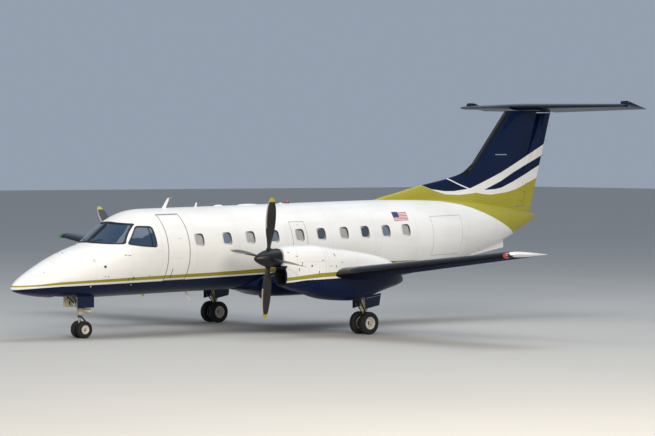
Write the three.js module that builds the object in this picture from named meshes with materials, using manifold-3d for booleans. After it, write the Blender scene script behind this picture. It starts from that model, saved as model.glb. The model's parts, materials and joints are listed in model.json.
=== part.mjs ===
// Twin-turboprop airliner, parked on its gear. Millimetres, +X forward, +Y to port, +Z up,
// origin on the ground under the middle of the aircraft's length.
//
// Most pieces are drawn in the airframe's own frame: x is minus the station (the distance aft of
// the nose tip), y is to port and z is measured from the axis of the cabin tube. The airframe
// group then leans nose-down on its gear and stands at its height.

import * as THREE from 'three';
import { mergeVertices } from 'three/addons/utils/BufferGeometryUtils.js';
import Module from 'manifold-3d';

const wasm = await Module();
wasm.setup();

// Driving dimensions

const LENGTH = 20070;
const SPAN = 19780;
const TUBE_RADIUS = 1140;
const NOSE_X = LENGTH / 2;
const AXIS_HEIGHT = 2158;        // height of the tube's axis at the nose tip
const NOSE_DOWN = 0.0195;        // radians that the parked airframe leans forward
const GAP = 0.4;                 // between fixed neighbours
const CLEARANCE = 9;             // around a moving piece
const TRACK_HALF = 3290;         // engines and main legs off the centreline

const PROP_STATION = 5878;
const PROP_RADIUS = 1600;
const THRUST_Z = -153;
const BLADES = 4;
const SPINNER = { tip: 5400, back: 6170, hole: 110 };

const NOSE_AXLE = { station: 2227, radius: 228.5, width: 140, rim: 118, half: 125 };
const MAIN_AXLE = { station: 9197, radius: 305, width: 184, rim: 168, half: 188 };

// Small helpers

const at = station => -station;
const lerp = (a, b, t) => a + (b - a) * t;
const sides = [['left', 1], ['right', -1]];

function solidOf(geometry) {
  const bare = geometry.clone();
  bare.deleteAttribute('normal');
  bare.deleteAttribute('uv');
  const merged = mergeVertices(bare, 1e-3);
  const build = order => new wasm.Manifold(new wasm.Mesh({
    numProp: 3,
    vertProperties: new Float32Array(merged.attributes.position.array),
    triVerts: new Uint32Array(order),
  }));
  const order = Array.from(merged.index.array);
  const solid = build(order);
  if (solid.volume() > 0) return solid;
  const turned = [];
  for (let i = 0; i < order.length; i += 3) turned.push(order[i], order[i + 2], order[i + 1]);
  return build(turned);
}

function geometryOf(solid) {
  const mesh = solid.getMesh();
  const geometry = new THREE.BufferGeometry();
  const count = mesh.vertProperties.length / mesh.numProp;
  const position = new Float32Array(count * 3);
  for (let i = 0; i < count; i++) {
    for (let k = 0; k < 3; k++) position[3 * i + k] = mesh.vertProperties[mesh.numProp * i + k];
  }
  geometry.setAttribute('position', new THREE.BufferAttribute(position, 3));
  geometry.setIndex(Array.from(mesh.triVerts));
  return geometry;
}

// A closed skin through rings of equally many points, with a flat cap at each end.
function loft(rings) {
  const n = rings[0].length;
  const position = rings.flatMap(ring => ring.flatMap(p => [p.x, p.y, p.z]));
  const index = [];
  for (let i = 0; i + 1 < rings.length; i++) {
    for (let j = 0; j < n; j++) {
      const a = i * n + j;
      const b = i * n + (j + 1) % n;
      index.push(a, b, b + n, a, b + n, a + n);
    }
  }
  const last = (rings.length - 1) * n;
  for (let j = 1; j + 1 < n; j++) {
    index.push(0, j + 1, j);
    index.push(last, last + j, last + j + 1);
  }
  const geometry = new THREE.BufferGeometry();
  geometry.setAttribute('position', new THREE.BufferAttribute(new Float32Array(position), 3));
  geometry.setIndex(index);
  return solidOf(geometry);
}

function block(x0, x1, y0, y1, z0, z1) {
  const geometry = new THREE.BoxGeometry(Math.abs(x1 - x0), Math.abs(y1 - y0), Math.abs(z1 - z0));
  geometry.translate((x0 + x1) / 2, (y0 + y1) / 2, (z0 + z1) / 2);
  return solidOf(geometry);
}

// A round bar between two points, tapering from radius r0 to r1.
function bar(p, q, r0, r1 = r0, around = 12) {
  const a = new THREE.Vector3(...p);
  const b = new THREE.Vector3(...q);
  const along = b.clone().sub(a);
  const geometry = new THREE.CylinderGeometry(r1, r0, along.length(), around);
  geometry.applyQuaternion(new THREE.Quaternion().setFromUnitVectors(
    new THREE.Vector3(0, 1, 0), along.clone().normalize()));
  geometry.translate(...a.add(b).multiplyScalar(0.5).toArray());
  return solidOf(geometry);
}

// A flat outline of [u, v] points, pushed from w0 to w1 along the named axis.
function slab(outline, axis, w0, w1) {
  const shape = new THREE.Shape(outline.map(([u, v]) => new THREE.Vector2(u, v)));
  const geometry = new THREE.ExtrudeGeometry(shape, { depth: w1 - w0, bevelEnabled: false, steps: 1 });
  geometry.translate(0, 0, w0);
  const turn = {
    x: new THREE.Matrix4().set(0, 0, 1, 0, 1, 0, 0, 0, 0, 1, 0, 0, 0, 0, 0, 1),
    y: new THREE.Matrix4().set(1, 0, 0, 0, 0, 0, 1, 0, 0, 1, 0, 0, 0, 0, 0, 1),
    z: new THREE.Matrix4(),
  }[axis];
  geometry.applyMatrix4(turn);
  return solidOf(geometry);
}

// A revolved solid about Y, from [radius, y] points that close on themselves or on the axis. Its
// lowest facet lies flat.
function spunAboutY(profile, around) {
  const geometry = new THREE.LatheGeometry(profile.map(([r, y]) => new THREE.Vector2(r, y)), around);
  geometry.rotateY(Math.PI / around);
  return solidOf(geometry);
}

// Materials

const finish = (color, roughness, metalness = 0) =>
  new THREE.MeshStandardMaterial({ color, roughness, metalness });
const paint = {
  white: finish(0xf2f2ee, 0.3),
  navy: finish(0x0c1f45, 0.3),
  black: finish(0x15161a, 0.45),
  tyre: finish(0x1a1a1c, 0.9),
  rim: finish(0xd9d2c4, 0.4, 0.3),
  legs: finish(0xcdc8b8, 0.45, 0.3),
  glass: finish(0x26465c, 0.08),
  metal: finish(0x6a6a6c, 0.35, 0.9),
  cabin: finish(0x3a3c42, 0.8),
};

const airframe = new THREE.Group();
airframe.position.set(NOSE_X, 0, AXIS_HEIGHT);
airframe.rotation.y = NOSE_DOWN;
const ground = new THREE.Group();

// A piece that turns carries the two ends of its hinge line.
function add(group, name, solid, material, hinge) {
  const mesh = new THREE.Mesh(geometryOf(solid), material);
  mesh.name = name;
  if (hinge) mesh.userData.hinge = hinge;
  group.add(mesh);
  return mesh;
}

// The point of the airframe's frame that stands at a station and a height over the ground.
function standing(station, y, height) {
  const dx = -station;
  const dz = height - AXIS_HEIGHT;
  const c = Math.cos(NOSE_DOWN);
  const s = Math.sin(NOSE_DOWN);
  return [dx * c - dz * s, y, dx * s + dz * c];
}

// Fuselage

// columns: station, top, bottom, half width, height of the widest line
const BODY = [
  [0, -765, -815, 25, -790],
  [60, -700, -868, 120, -795],
  [200, -590, -925, 250, -790],
  [450, -440, -985, 405, -760],
  [800, -258, -1043, 560, -700],
  [1250, -50, -1090, 720, -600],
  [1700, 120, -1118, 850, -480],
  [2100, 240, -1132, 940, -370],
  [2400, 320, -1138, 1000, -290],
  [2650, 500, -1140, 1040, -220],
  [2950, 720, -1140, 1080, -140],
  [3250, 915, -1140, 1110, -80],
  [3550, 1050, -1140, 1128, -30],
  [3850, 1118, -1140, 1138, 0],
  [4150, 1140, -1140, 1140, 0],
  [12400, 1140, -1140, 1140, 0],
  [13300, 1138, -1070, 1112, 30],
  [14200, 1125, -935, 1040, 85],
  [15100, 1085, -765, 935, 150],
  [16000, 1015, -570, 800, 220],
  [16900, 905, -340, 630, 290],
  [17800, 765, -25, 410, 380],
  [18400, 650, 235, 225, 440],
  [18730, 555, 405, 90, 480],
];
const AROUND = 32;

function bodyRow(station) {
  const k = BODY.findIndex(row => row[0] >= station);
  if (k <= 0) return BODY[k < 0 ? BODY.length - 1 : 0].slice(1);
  const t = (station - BODY[k - 1][0]) / (BODY[k][0] - BODY[k - 1][0]);
  return BODY[k].slice(1).map((value, i) => lerp(BODY[k - 1][i + 1], value, t));
}

function ovalRing(x, top, bottom, half, waist, around, power = 1) {
  const ring = [];
  for (let j = 0; j < around; j++) {
    const a = 2 * Math.PI * j / around;
    const c = Math.cos(a);
    const s = Math.sin(a);
    const y = half * Math.sign(c) * Math.abs(c) ** power;
    const rise = Math.abs(s) ** power;
    ring.push(new THREE.Vector3(x, y, waist + (s > 0 ? (top - waist) * rise : (bottom - waist) * rise)));
  }
  return ring;
}

// The body between two stations, its skin moved out by grow (in, where grow is negative).
function bodySolid(from, to, grow = 0) {
  const stations = [from, ...BODY.map(row => row[0]).filter(s => s > from && s < to), to];
  return loft(stations.map(station => {
    const [top, bottom, half, waist] = bodyRow(station);
    return ovalRing(at(station), top + grow, bottom - grow, half + grow, waist, AROUND);
  }));
}

const WALL = 70;
const COCKPIT = { front: 2150, back: 4000, floor: -420 };
const LOBBY = { front: 4090, back: 5120, floor: -760 };
const DOOR = { front: 4235, back: 4945, sill: -750, top: 985, thick: 80 };
const CABIN = { front: 5280, back: 13120, floor: -760 };   // open behind, against the baggage hold's wall
const HOLD = { front: 13180, back: 15150, floor: -800 };
const TAIL_BAY = { front: 15220, back: 17700, floor: -1200, hatch: 260 };
const CARGO = { front: 13750, back: 15000, sill: -470, top: 640, thick: 70 };
const SPLITS = { radome: 560, front: 5200, rear: 13100 };

function hollow(room, wall = WALL) {
  const inner = bodySolid(room.front, room.back, -wall);
  return inner.intersect(block(at(room.front), at(room.back), -1200, 1200, room.floor, 1200));
}

// Side window and windscreen panes. Side windows are seen from the side: [station, z].
const SIDE_PANE = [[3310, 700], [3840, 690], [3900, 180], [3300, 250], [3020, 330]];
// Front panes are seen from ahead: [y, z].
const FRONT_PANE = [[45, 395], [45, 870], [560, 800], [800, 300]];
const SHRINK = 14;

function paneCutter(outline, axis, w0, w1, side) {
  return axis === 'y'
    ? slab(outline.map(([s, z]) => [at(s), z]), 'y', side > 0 ? w0 : -w1, side > 0 ? w1 : -w0)
    : slab(outline.map(([y, z]) => [side * y, z]), 'x', w0, w1);
}

function inset(outline, by) {
  const cx = outline.reduce((sum, p) => sum + p[0], 0) / outline.length;
  const cy = outline.reduce((sum, p) => sum + p[1], 0) / outline.length;
  return outline.map(([u, v]) => {
    const d = Math.hypot(u - cx, v - cy);
    return [u - (u - cx) * by / d, v - (v - cy) * by / d];
  });
}

const windscreenX = [at(3450), at(2150)];
let front = bodySolid(SPLITS.radome + GAP, SPLITS.front);
front = front.subtract(hollow(COCKPIT)).subtract(hollow(LOBBY));
for (const [, side] of sides) {
  front = front.subtract(paneCutter(SIDE_PANE, 'y', 500, 1300, side));
  front = front.subtract(paneCutter(FRONT_PANE, 'x', ...windscreenX, side));
}
const doorway = block(at(DOOR.back) - CLEARANCE, at(DOOR.front) + CLEARANCE, 300, 1300,
  DOOR.sill - CLEARANCE, DOOR.top + CLEARANCE);
front = front.subtract(doorway);

// The nose leg's bay, open below
const NOSE_BAY = { front: 1150, back: 2420, half: 290, roof: -640 };
front = front.subtract(block(at(NOSE_BAY.back), at(NOSE_BAY.front), -NOSE_BAY.half, NOSE_BAY.half,
  -1300, NOSE_BAY.roof));

add(airframe, 'radome', bodySolid(0, SPLITS.radome), paint.white);
add(airframe, 'fuselage_front', front, paint.white);

for (const [word, side] of sides) {
  const shell = bodySolid(2900, 4000, -12).subtract(bodySolid(2900, 4000, -34));
  const pane = shell.intersect(paneCutter(inset(SIDE_PANE, SHRINK / 14), 'y', 500, 1300, side));
  add(airframe, `cockpit_window_${word}`, pane, paint.glass);
}
{
  const shell = bodySolid(2160, 3440, -12).subtract(bodySolid(2160, 3440, -34));
  const outline = [[-799, 301], [-559, 799], [-46, 869], [-46, 396]];
  const left = shell.intersect(paneCutter(outline.map(([y, z]) => [-y, z]), 'x', ...windscreenX, 1));
  const right = shell.intersect(paneCutter(outline.map(([y, z]) => [-y, z]), 'x', ...windscreenX, -1));
  add(airframe, 'windscreen_left', left, paint.glass);
  add(airframe, 'windscreen_right', right, paint.glass);
}

// Cockpit furniture
const PANEL = { front: 2560, back: 2680, half: 620, bottom: COCKPIT.floor + GAP, top: 260 };
add(airframe, 'instrument_panel',
  block(at(PANEL.back), at(PANEL.front), -PANEL.half, PANEL.half, PANEL.bottom, PANEL.top)
    .add(block(at(PANEL.back) - 60, at(PANEL.front), -PANEL.half, PANEL.half, PANEL.top - 40, PANEL.top))
    .intersect(bodySolid(COCKPIT.front, COCKPIT.back, -WALL - 2)), paint.cabin);

const SEAT = { station: 3350, y: 420, width: 460, cushion: 10, back: 560 };
{
  let seats = block(at(3650), at(3050), -640, 640, COCKPIT.floor + GAP, COCKPIT.floor + 30);
  for (const y of [-SEAT.y, SEAT.y]) {
    seats = seats
      .add(block(at(3500), at(3250), y - 120, y + 120, COCKPIT.floor + 20, SEAT.cushion - 60))
      .add(block(at(3600), at(3120), y - SEAT.width / 2, y + SEAT.width / 2, SEAT.cushion - 90, SEAT.cushion))
      .add(block(at(3640), at(3530), y - SEAT.width / 2, y + SEAT.width / 2, SEAT.cushion - 90, SEAT.back));
  }
  add(airframe, 'cockpit_seats', seats, paint.cabin);
}

// The passenger door is one panel of the tube with its steps on the inside
{
  const panel = block(at(DOOR.back), at(DOOR.front), 300, 1300, DOOR.sill, DOOR.top);
  const skin = bodySolid(4160, 5040).subtract(bodySolid(4160, 5040, -DOOR.thick));
  let door = skin.intersect(panel);
  const STEPS = 4;
  for (let k = 0; k < STEPS; k++) {
    const z = lerp(DOOR.sill + 260, DOOR.top - 420, k / (STEPS - 1));
    const edge = Math.sqrt(TUBE_RADIUS ** 2 - z ** 2) - DOOR.thick + 30;
    door = door.add(block(at(DOOR.back) + 60, at(DOOR.front) - 60, edge - 250, edge, z - 15, z + 15));
  }
  const edge = Math.sqrt(TUBE_RADIUS ** 2 - DOOR.sill ** 2);
  add(airframe, 'passenger_door', door, paint.white,
    [[at(DOOR.front), edge, DOOR.sill], [at(DOOR.back), edge, DOOR.sill]]);
}

// Wing sections: NACA 230-series camber line with the standard thickness form

const WING = { chordRoot: 2600, chordTip: 1412, thickRoot: 0.18, thickTip: 0.12,
  straight: 9220, straightAt: 0.66, edgeZ: -1078, rise: 0.1126, incidence: 0.028, tip: SPAN / 2 };
const AIRFOIL_STEPS = 10;

const CAMBER = { m: 0.2025, k: 15.957 };
const thicknessAt = (x, thick) => 5 * thick * (0.2969 * Math.sqrt(x) - 0.126 * x - 0.3516 * x ** 2
  + 0.2843 * x ** 3 - 0.1015 * x ** 4);

function airfoil(thick, cambered) {
  const camber = x => {
    const { m, k } = CAMBER;
    if (!cambered) return 0;
    return x < m ? k / 6 * (x ** 3 - 3 * m * x ** 2 + m ** 2 * (3 - m) * x) : k / 6 * m ** 3 * (1 - x);
  };
  const half = x => thicknessAt(x, thick) + 0.0015 * x;
  const points = [];
  for (let i = AIRFOIL_STEPS; i >= 0; i--) {
    const x = (1 - Math.cos(Math.PI * i / AIRFOIL_STEPS)) / 2;
    points.push([x, camber(x) + half(x)]);
  }
  for (let i = 1; i <= AIRFOIL_STEPS; i++) {
    const x = (1 - Math.cos(Math.PI * i / AIRFOIL_STEPS)) / 2;
    points.push([x, camber(x) - half(x)]);
  }
  return points;
}

function wingRow(y) {
  const t = Math.abs(y) / WING.tip;
  const chord = lerp(WING.chordRoot, WING.chordTip, t);
  return {
    chord,
    thick: lerp(WING.thickRoot, WING.thickTip, t),
    station: WING.straight - WING.straightAt * chord,
    z: WING.edgeZ + WING.rise * Math.abs(y),
  };
}

function wingPoint(y, x, up) {
  const row = wingRow(y);
  const u = x * row.chord;
  const v = up * row.chord;
  const c = Math.cos(WING.incidence);
  const s = Math.sin(WING.incidence);
  return new THREE.Vector3(at(row.station + u * c + v * s), y, row.z - u * s + v * c);
}

// The wing's outline closes in over the last stretch of the tip.
// columns: share of the tip's width, chord kept, thickness kept
const TIP_ROUND = [[0, 1, 1], [0.45, 0.985, 0.9], [0.8, 0.94, 0.66], [1, 0.84, 0.25]];
const TIP_WIDTH = 330;

function wingSolid(from, grow = 0) {
  const ring = (y, chordKept, thickKept) => {
    const row = wingRow(y);
    return airfoil(row.thick * thickKept, true).map(([x, v]) => {
      const mid = 0.62;
      const xx = mid + (x - mid) * chordKept;
      const p = wingPoint(y, xx, v * Math.min(1, chordKept));
      if (grow) {
        p.x += grow * (x < 0.5 ? 1 : -1);
        p.z += grow * (v > 0 ? 1 : -1);
      }
      return p;
    });
  };
  const rings = [ring(from, 1, 1), ring(TRACK_HALF, 1, 1)];
  TIP_ROUND.forEach(([share, chord, thick]) =>
    rings.push(ring(WING.tip - TIP_WIDTH * (1 - share), chord, thick)));
  return loft(rings);
}

// A mirrored copy across the plane of symmetry
const mirrored = solid => solid.mirror([0, 1, 0]);
const onSide = (solid, side) => side > 0 ? solid : mirrored(solid);

// A hinged surface of the wing is what lies behind its hinge line, with a round nose that fits the
// cove. Its ends are square to the hinge line, so they stay clear of the wing as it turns.
const HINGE = { flap: 0.70, aileron: 0.74 };
const FLAP_BRACKET = { forward: 90, below: 210 };   // the flaps turn about a line below the wing
const SURFACES = {
  flap_inner: { y0: 1290, y1: 2830, share: HINGE.flap },
  flap_outer: { y0: 3790, y1: 6180, share: HINGE.flap },
  aileron: { y0: 6240, y1: 9480, share: HINGE.aileron },
};

function wingPiece(host, spec) {
  const camberAt = CAMBER.k / 6 * CAMBER.m ** 3 * (1 - spec.share);
  const nose = y => wingRow(y).chord * thicknessAt(spec.share, wingRow(y).thick) * 0.97;
  const onHinge = y => {
    const p = wingPoint(y, spec.share, camberAt);
    return [p.x, y, p.z];
  };
  const [foot, head] = [onHinge(spec.y0), onHinge(spec.y1)];
  const slope = Math.atan2(head[2] - foot[2], head[1] - foot[1]);
  const level = foot[2] - foot[1] * Math.tan(slope);
  const region = (grow, ahead) => {
    const y0 = (spec.y0 + CLEARANCE - grow) / Math.cos(slope);
    const y1 = (spec.y1 - CLEARANCE + grow) / Math.cos(slope);
    const behind = 1500;
    return slab([[foot[0] + ahead, y0], [head[0] + ahead, y1], [head[0] - behind, y1], [foot[0] - behind, y0]],
      'z', -900, 900).rotate([THREE.MathUtils.radToDeg(slope), 0, 0]).translate([0, 0, level]);
  };
  const reach = 400;
  const spare = 200;
  const play = 17;
  const round = (more, grow) => bar(onHinge(spec.y0 - spare), onHinge(spec.y1 + spare),
    nose(spec.y0 - spare) + more, nose(spec.y1 + spare) + more, 16).intersect(region(grow, reach));
  return {
    surface: host.intersect(region(0, 0)).add(round(0, 0)),
    rest: host.subtract(region(CLEARANCE, 0)).subtract(round(play, CLEARANCE)),
    hinge: [foot, head],
  };
}

// Belly fairing under and around the wing roots
// columns: station, top, bottom, half width
const FAIRING = [
  [7150, -900, -1150, 350],
  [7650, -700, -1235, 800],
  [8300, -560, -1395, 1080],
  [9200, -540, -1410, 1130],
  [10000, -560, -1385, 1120],
  [10900, -680, -1290, 980],
  [11700, -900, -1160, 480],
];
function fairingSolid(grow = 0) {
  return loft(FAIRING.map(([station, top, bottom, half]) =>
    ovalRing(at(station), top + grow, bottom - grow, half + grow, -860, 32, 0.62)));
}

// Nacelles
// columns: station, top, bottom, half width
const NACELLE = [
  [6205, 92, -420, 262],
  [6450, 135, -640, 345],
  [6800, 152, -985, 410],
  [7200, 150, -1195, 445],
  [7650, 96, -1315, 460],
  [8050, 22, -1365, 460],
  [8600, -50, -1400, 460],
  [9100, -135, -1350, 450],
  [9600, -245, -1215, 420],
  [9950, -365, -1130, 370],
  [10200, -560, -1075, 300],
  [10420, -800, -1010, 180],
];
const NACELLE_POWER = 0.72;
function nacelleRings(grow, from = -Infinity, to = Infinity) {
  return NACELLE.filter(row => row[0] >= from && row[0] <= to).map(([station, top, bottom, half]) =>
    ovalRing(at(station), top + grow, bottom - grow, half + grow, (top + bottom) / 2, 24, NACELLE_POWER)
      .map(p => p.setY(p.y + TRACK_HALF)));
}
const SCOOP = { front: 6270, back: 7250, top: -330, bottom: -900, half: 270 };
const MAIN_BAY = { front: 8800, back: 9560, half: 235, roof: -990 };
const EXHAUST = { front: 9900, back: 10190, z: -520, radius: 105, bore: 90 };
const ENGINE = { front: 6790, back: 7745, half: 300, top: -95, bottom: -690 };

function nacelleSolid(wingFat) {
  let body = loft(nacelleRings(0));
  const scoop = loft([
    ovalRing(at(SCOOP.front), -395, -880, 235, -640, 24, 0.8),
    ovalRing(at(SCOOP.front + 40), -375, -915, 262, -640, 24, 0.8),
    ovalRing(at(6700), -375, -1050, 330, -660, 24, 0.8),
    ovalRing(at(SCOOP.back), -400, -1180, 380, -700, 24, 0.8),
  ].map(ring => ring.map(p => p.setY(p.y + TRACK_HALF))));
  const mouth = loft([
    ovalRing(at(SCOOP.front - 60), -425, -850, 205, -640, 24, 0.8),
    ovalRing(at(6750), -500, -900, 190, -690, 24, 0.8),
  ].map(ring => ring.map(p => p.setY(p.y + TRACK_HALF))));
  body = body.add(scoop).subtract(mouth);
  const play = 15;
  const bay = block(at(ENGINE.back + play), at(ENGINE.front - play), TRACK_HALF - 450, TRACK_HALF + 450,
    ENGINE.bottom - GAP, 400).add(block(at(ENGINE.front), at(6420), TRACK_HALF - 450, TRACK_HALF + 450, -475, 400));
  body = body.subtract(loft(nacelleRings(-32, 6400, 8100)).intersect(bay));
  body = body.subtract(bar([at(6500), TRACK_HALF, THRUST_Z], [at(6100), TRACK_HALF, THRUST_Z],
    SPINNER.hole + CLEARANCE, SPINNER.hole + CLEARANCE, 20));
  body = body.subtract(block(at(MAIN_BAY.back), at(MAIN_BAY.front), TRACK_HALF - MAIN_BAY.half,
    TRACK_HALF + MAIN_BAY.half, -1600, MAIN_BAY.roof));
  body = body.subtract(bar([at(EXHAUST.front), TRACK_HALF, EXHAUST.z], [at(10500), TRACK_HALF, EXHAUST.z],
    EXHAUST.radius + GAP, EXHAUST.radius + GAP, 16));
  return body.subtract(wingFat);
}

{
  const full = wingSolid(330);
  const cutBody = bodySolid(6500, 12000, GAP * 2);
  let rest = full.subtract(cutBody);
  const pieces = {};
  for (const [name, spec] of Object.entries(SURFACES)) {
    const made = wingPiece(rest, spec);
    rest = made.rest;
    pieces[name] = made;
  }
  const wingFat = wingSolid(300, GAP * 2);
  const nacelle = nacelleSolid(wingFat);
  const fairing = fairingSolid()
    .subtract(bodySolid(6500, 12500, GAP * 2))
    .subtract(wingFat)
    .subtract(mirrored(wingFat));
  add(airframe, 'belly_fairing', fairing, paint.navy);
  for (const [word, side] of sides) {
    add(airframe, `wing_${word}`, onSide(rest, side), paint.navy);
    for (const name of Object.keys(SURFACES)) {
      const { forward, below } = name === 'aileron' ? { forward: 0, below: 0 } : FLAP_BRACKET;
      const hinge = pieces[name].hinge.map(([x, y, z]) => [x + forward, side * y, z - below]);
      add(airframe, `${name}_${word}`, onSide(pieces[name].surface, side), paint.navy, hinge);
    }
    add(airframe, `nacelle_${word}`, onSide(nacelle, side), paint.white);
    add(airframe, `engine_${word}`, onSide(block(at(ENGINE.back), at(ENGINE.front),
      TRACK_HALF - ENGINE.half, TRACK_HALF + ENGINE.half, ENGINE.bottom, ENGINE.top), side), paint.metal);
    const y = side * TRACK_HALF;
    add(airframe, `exhaust_${word}`,
      bar([at(EXHAUST.front) - GAP, y, EXHAUST.z], [at(EXHAUST.back), y, EXHAUST.z], EXHAUST.radius, EXHAUST.radius, 16)
        .subtract(bar([at(EXHAUST.front) - 80, y, EXHAUST.z], [at(EXHAUST.back) - 50, y, EXHAUST.z],
          EXHAUST.bore, EXHAUST.bore, 16)), paint.metal);
  }
}

add(airframe, 'fuselage_centre', bodySolid(SPLITS.front + GAP, SPLITS.rear).subtract(hollow(CABIN)), paint.white);

// Rear fuselage with the baggage hold
const cargoDoorway = block(at(CARGO.back) - CLEARANCE, at(CARGO.front) + CLEARANCE, 400, 1300,
  CARGO.sill - CLEARANCE, CARGO.top + CLEARANCE);
{
  const hatch = block(at(TAIL_BAY.front + 10), at(HOLD.back - 10), -TAIL_BAY.hatch, TAIL_BAY.hatch, -300, 500);
  let rear = bodySolid(SPLITS.rear + GAP, 18730).subtract(hollow(HOLD)).subtract(hollow(TAIL_BAY, 45))
    .subtract(hatch).subtract(cargoDoorway);
  for (const [, side] of sides) {
    const fin = slab([[at(15900), -500], [at(17500), 0], [at(17500), -330], [at(16600), -640]], 'y', -8, 8);
    const turned = fin.rotate([side * -38, 0, 0]).translate([0, side * 120, 60]);
    rear = rear.add(turned);
  }
  add(airframe, 'fuselage_rear', rear, paint.white);
  const skin = bodySolid(13600, 15100).subtract(bodySolid(13600, 15100, -CARGO.thick));
  const edgeAt = station => {
    const [top, , half, waist] = bodyRow(station);
    return half * Math.sqrt(1 - ((CARGO.top - waist) / (top - waist)) ** 2);
  };
  const swing = 8;
  add(airframe, 'cargo_door', skin.intersect(block(at(CARGO.back) + swing, at(CARGO.front), 400, 1300,
    CARGO.sill, CARGO.top)), paint.white,
  [CARGO.back, CARGO.front].map(station => [at(station), edgeAt(station) + 14, CARGO.top + 6]));
}

// Fin, rudder, tailplane and elevators

const FIN = { root: 560, top: 3640, edge: [[16270, 2085], [17690, 3700]],
  trail: [[18570, 560], [19560, 3700]], thick: 0.115 };
const DORSAL = [[12350, 1100], [13400, 1345], [14200, 1505], [15270, 1685], [15850, 1830], [16270, 2100]];

// The fin is a thin-skinned box, open at its foot.
// columns: height, front station, back station, half width
const FIN_WELL = [[560, 15750, 17640, 145], [3480, 17880, 18640, 72]];
const RUDDER = { bottom: 790, top: 3560, line: [[17850, 600], [18935, 3700]], nose: [96, 67],
  tabLine: [[18210, 600], [19245, 3700]], tabNose: [50, 34], cove: 18 };

function onLine([[s0, z0], [s1, z1]], z) {
  return lerp(s0, s1, (z - z0) / (z1 - z0));
}

function finRing(z, lead, trail, thick) {
  const chord = trail - lead;
  return airfoil(thick, false).map(([x, v]) => new THREE.Vector3(at(lead + x * chord), v * chord, z));
}

{
  const levels = [FIN.root, 1300, 2085, 2900, FIN.top];
  const core = loft(levels.map(z => finRing(z, onLine(FIN.edge, z), onLine(FIN.trail, z), FIN.thick)));
  const outline = DORSAL.map(([s, z]) => [at(s), z]);
  outline.push([at(17200), 2100], [at(17200), 900], [at(12350), 900]);
  const dorsal = slab(outline, 'y', -60, 60);
  const well = loft(FIN_WELL.map(([z, front, back, half]) =>
    [[front, half], [back, half * 0.8], [back, -half * 0.8], [front, -half]].map(([station, y]) =>
      new THREE.Vector3(at(station), y, z))));
  const skin = core.add(dorsal).subtract(well).subtract(bodySolid(12000, 18730, GAP * 2));
  const onHinge = (line, z) => [at(onLine(line, z)), 0, z];
  const behind = (line, bottom, top) => slab([[at(onLine(line, bottom)), bottom], [at(onLine(line, top)), top],
    [at(20500), top], [at(20500), bottom]], 'y', -400, 400);
  const round = (line, [r0, r1], bottom, top) => bar(onHinge(line, 0), onHinge(line, 4000),
    lerp(r0, r1, (0 - RUDDER.bottom) / (RUDDER.top - RUDDER.bottom)),
    lerp(r0, r1, (4000 - RUDDER.bottom) / (RUDDER.top - RUDDER.bottom)), 16)
    .intersect(block(at(20500), at(16000), -400, 400, bottom, top));
  const { bottom, top, cove } = RUDDER;
  const room = [0, top + 26];
  const whole = core.intersect(behind(RUDDER.line, bottom, top)).add(round(RUDDER.line, RUDDER.nose, bottom, top));
  const fin = skin.subtract(behind(RUDDER.line, ...room))
    .subtract(round(RUDDER.line, RUDDER.nose.map(r => r + cove), ...room));
  const tab = whole.intersect(behind(RUDDER.tabLine, bottom, top))
    .add(round(RUDDER.tabLine, RUDDER.tabNose, bottom, top));
  const rudder = whole.subtract(behind(RUDDER.tabLine, ...room))
    .subtract(round(RUDDER.tabLine, RUDDER.tabNose.map(r => r + cove), ...room));
  add(airframe, 'fin', fin, paint.navy);
  add(airframe, 'rudder', rudder, paint.navy, [onHinge(RUDDER.line, 600), onHinge(RUDDER.line, 3700)]);
  add(airframe, 'rudder_tab', tab, paint.navy, [onHinge(RUDDER.tabLine, 600), onHinge(RUDDER.tabLine, 3700)]);
}

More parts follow.
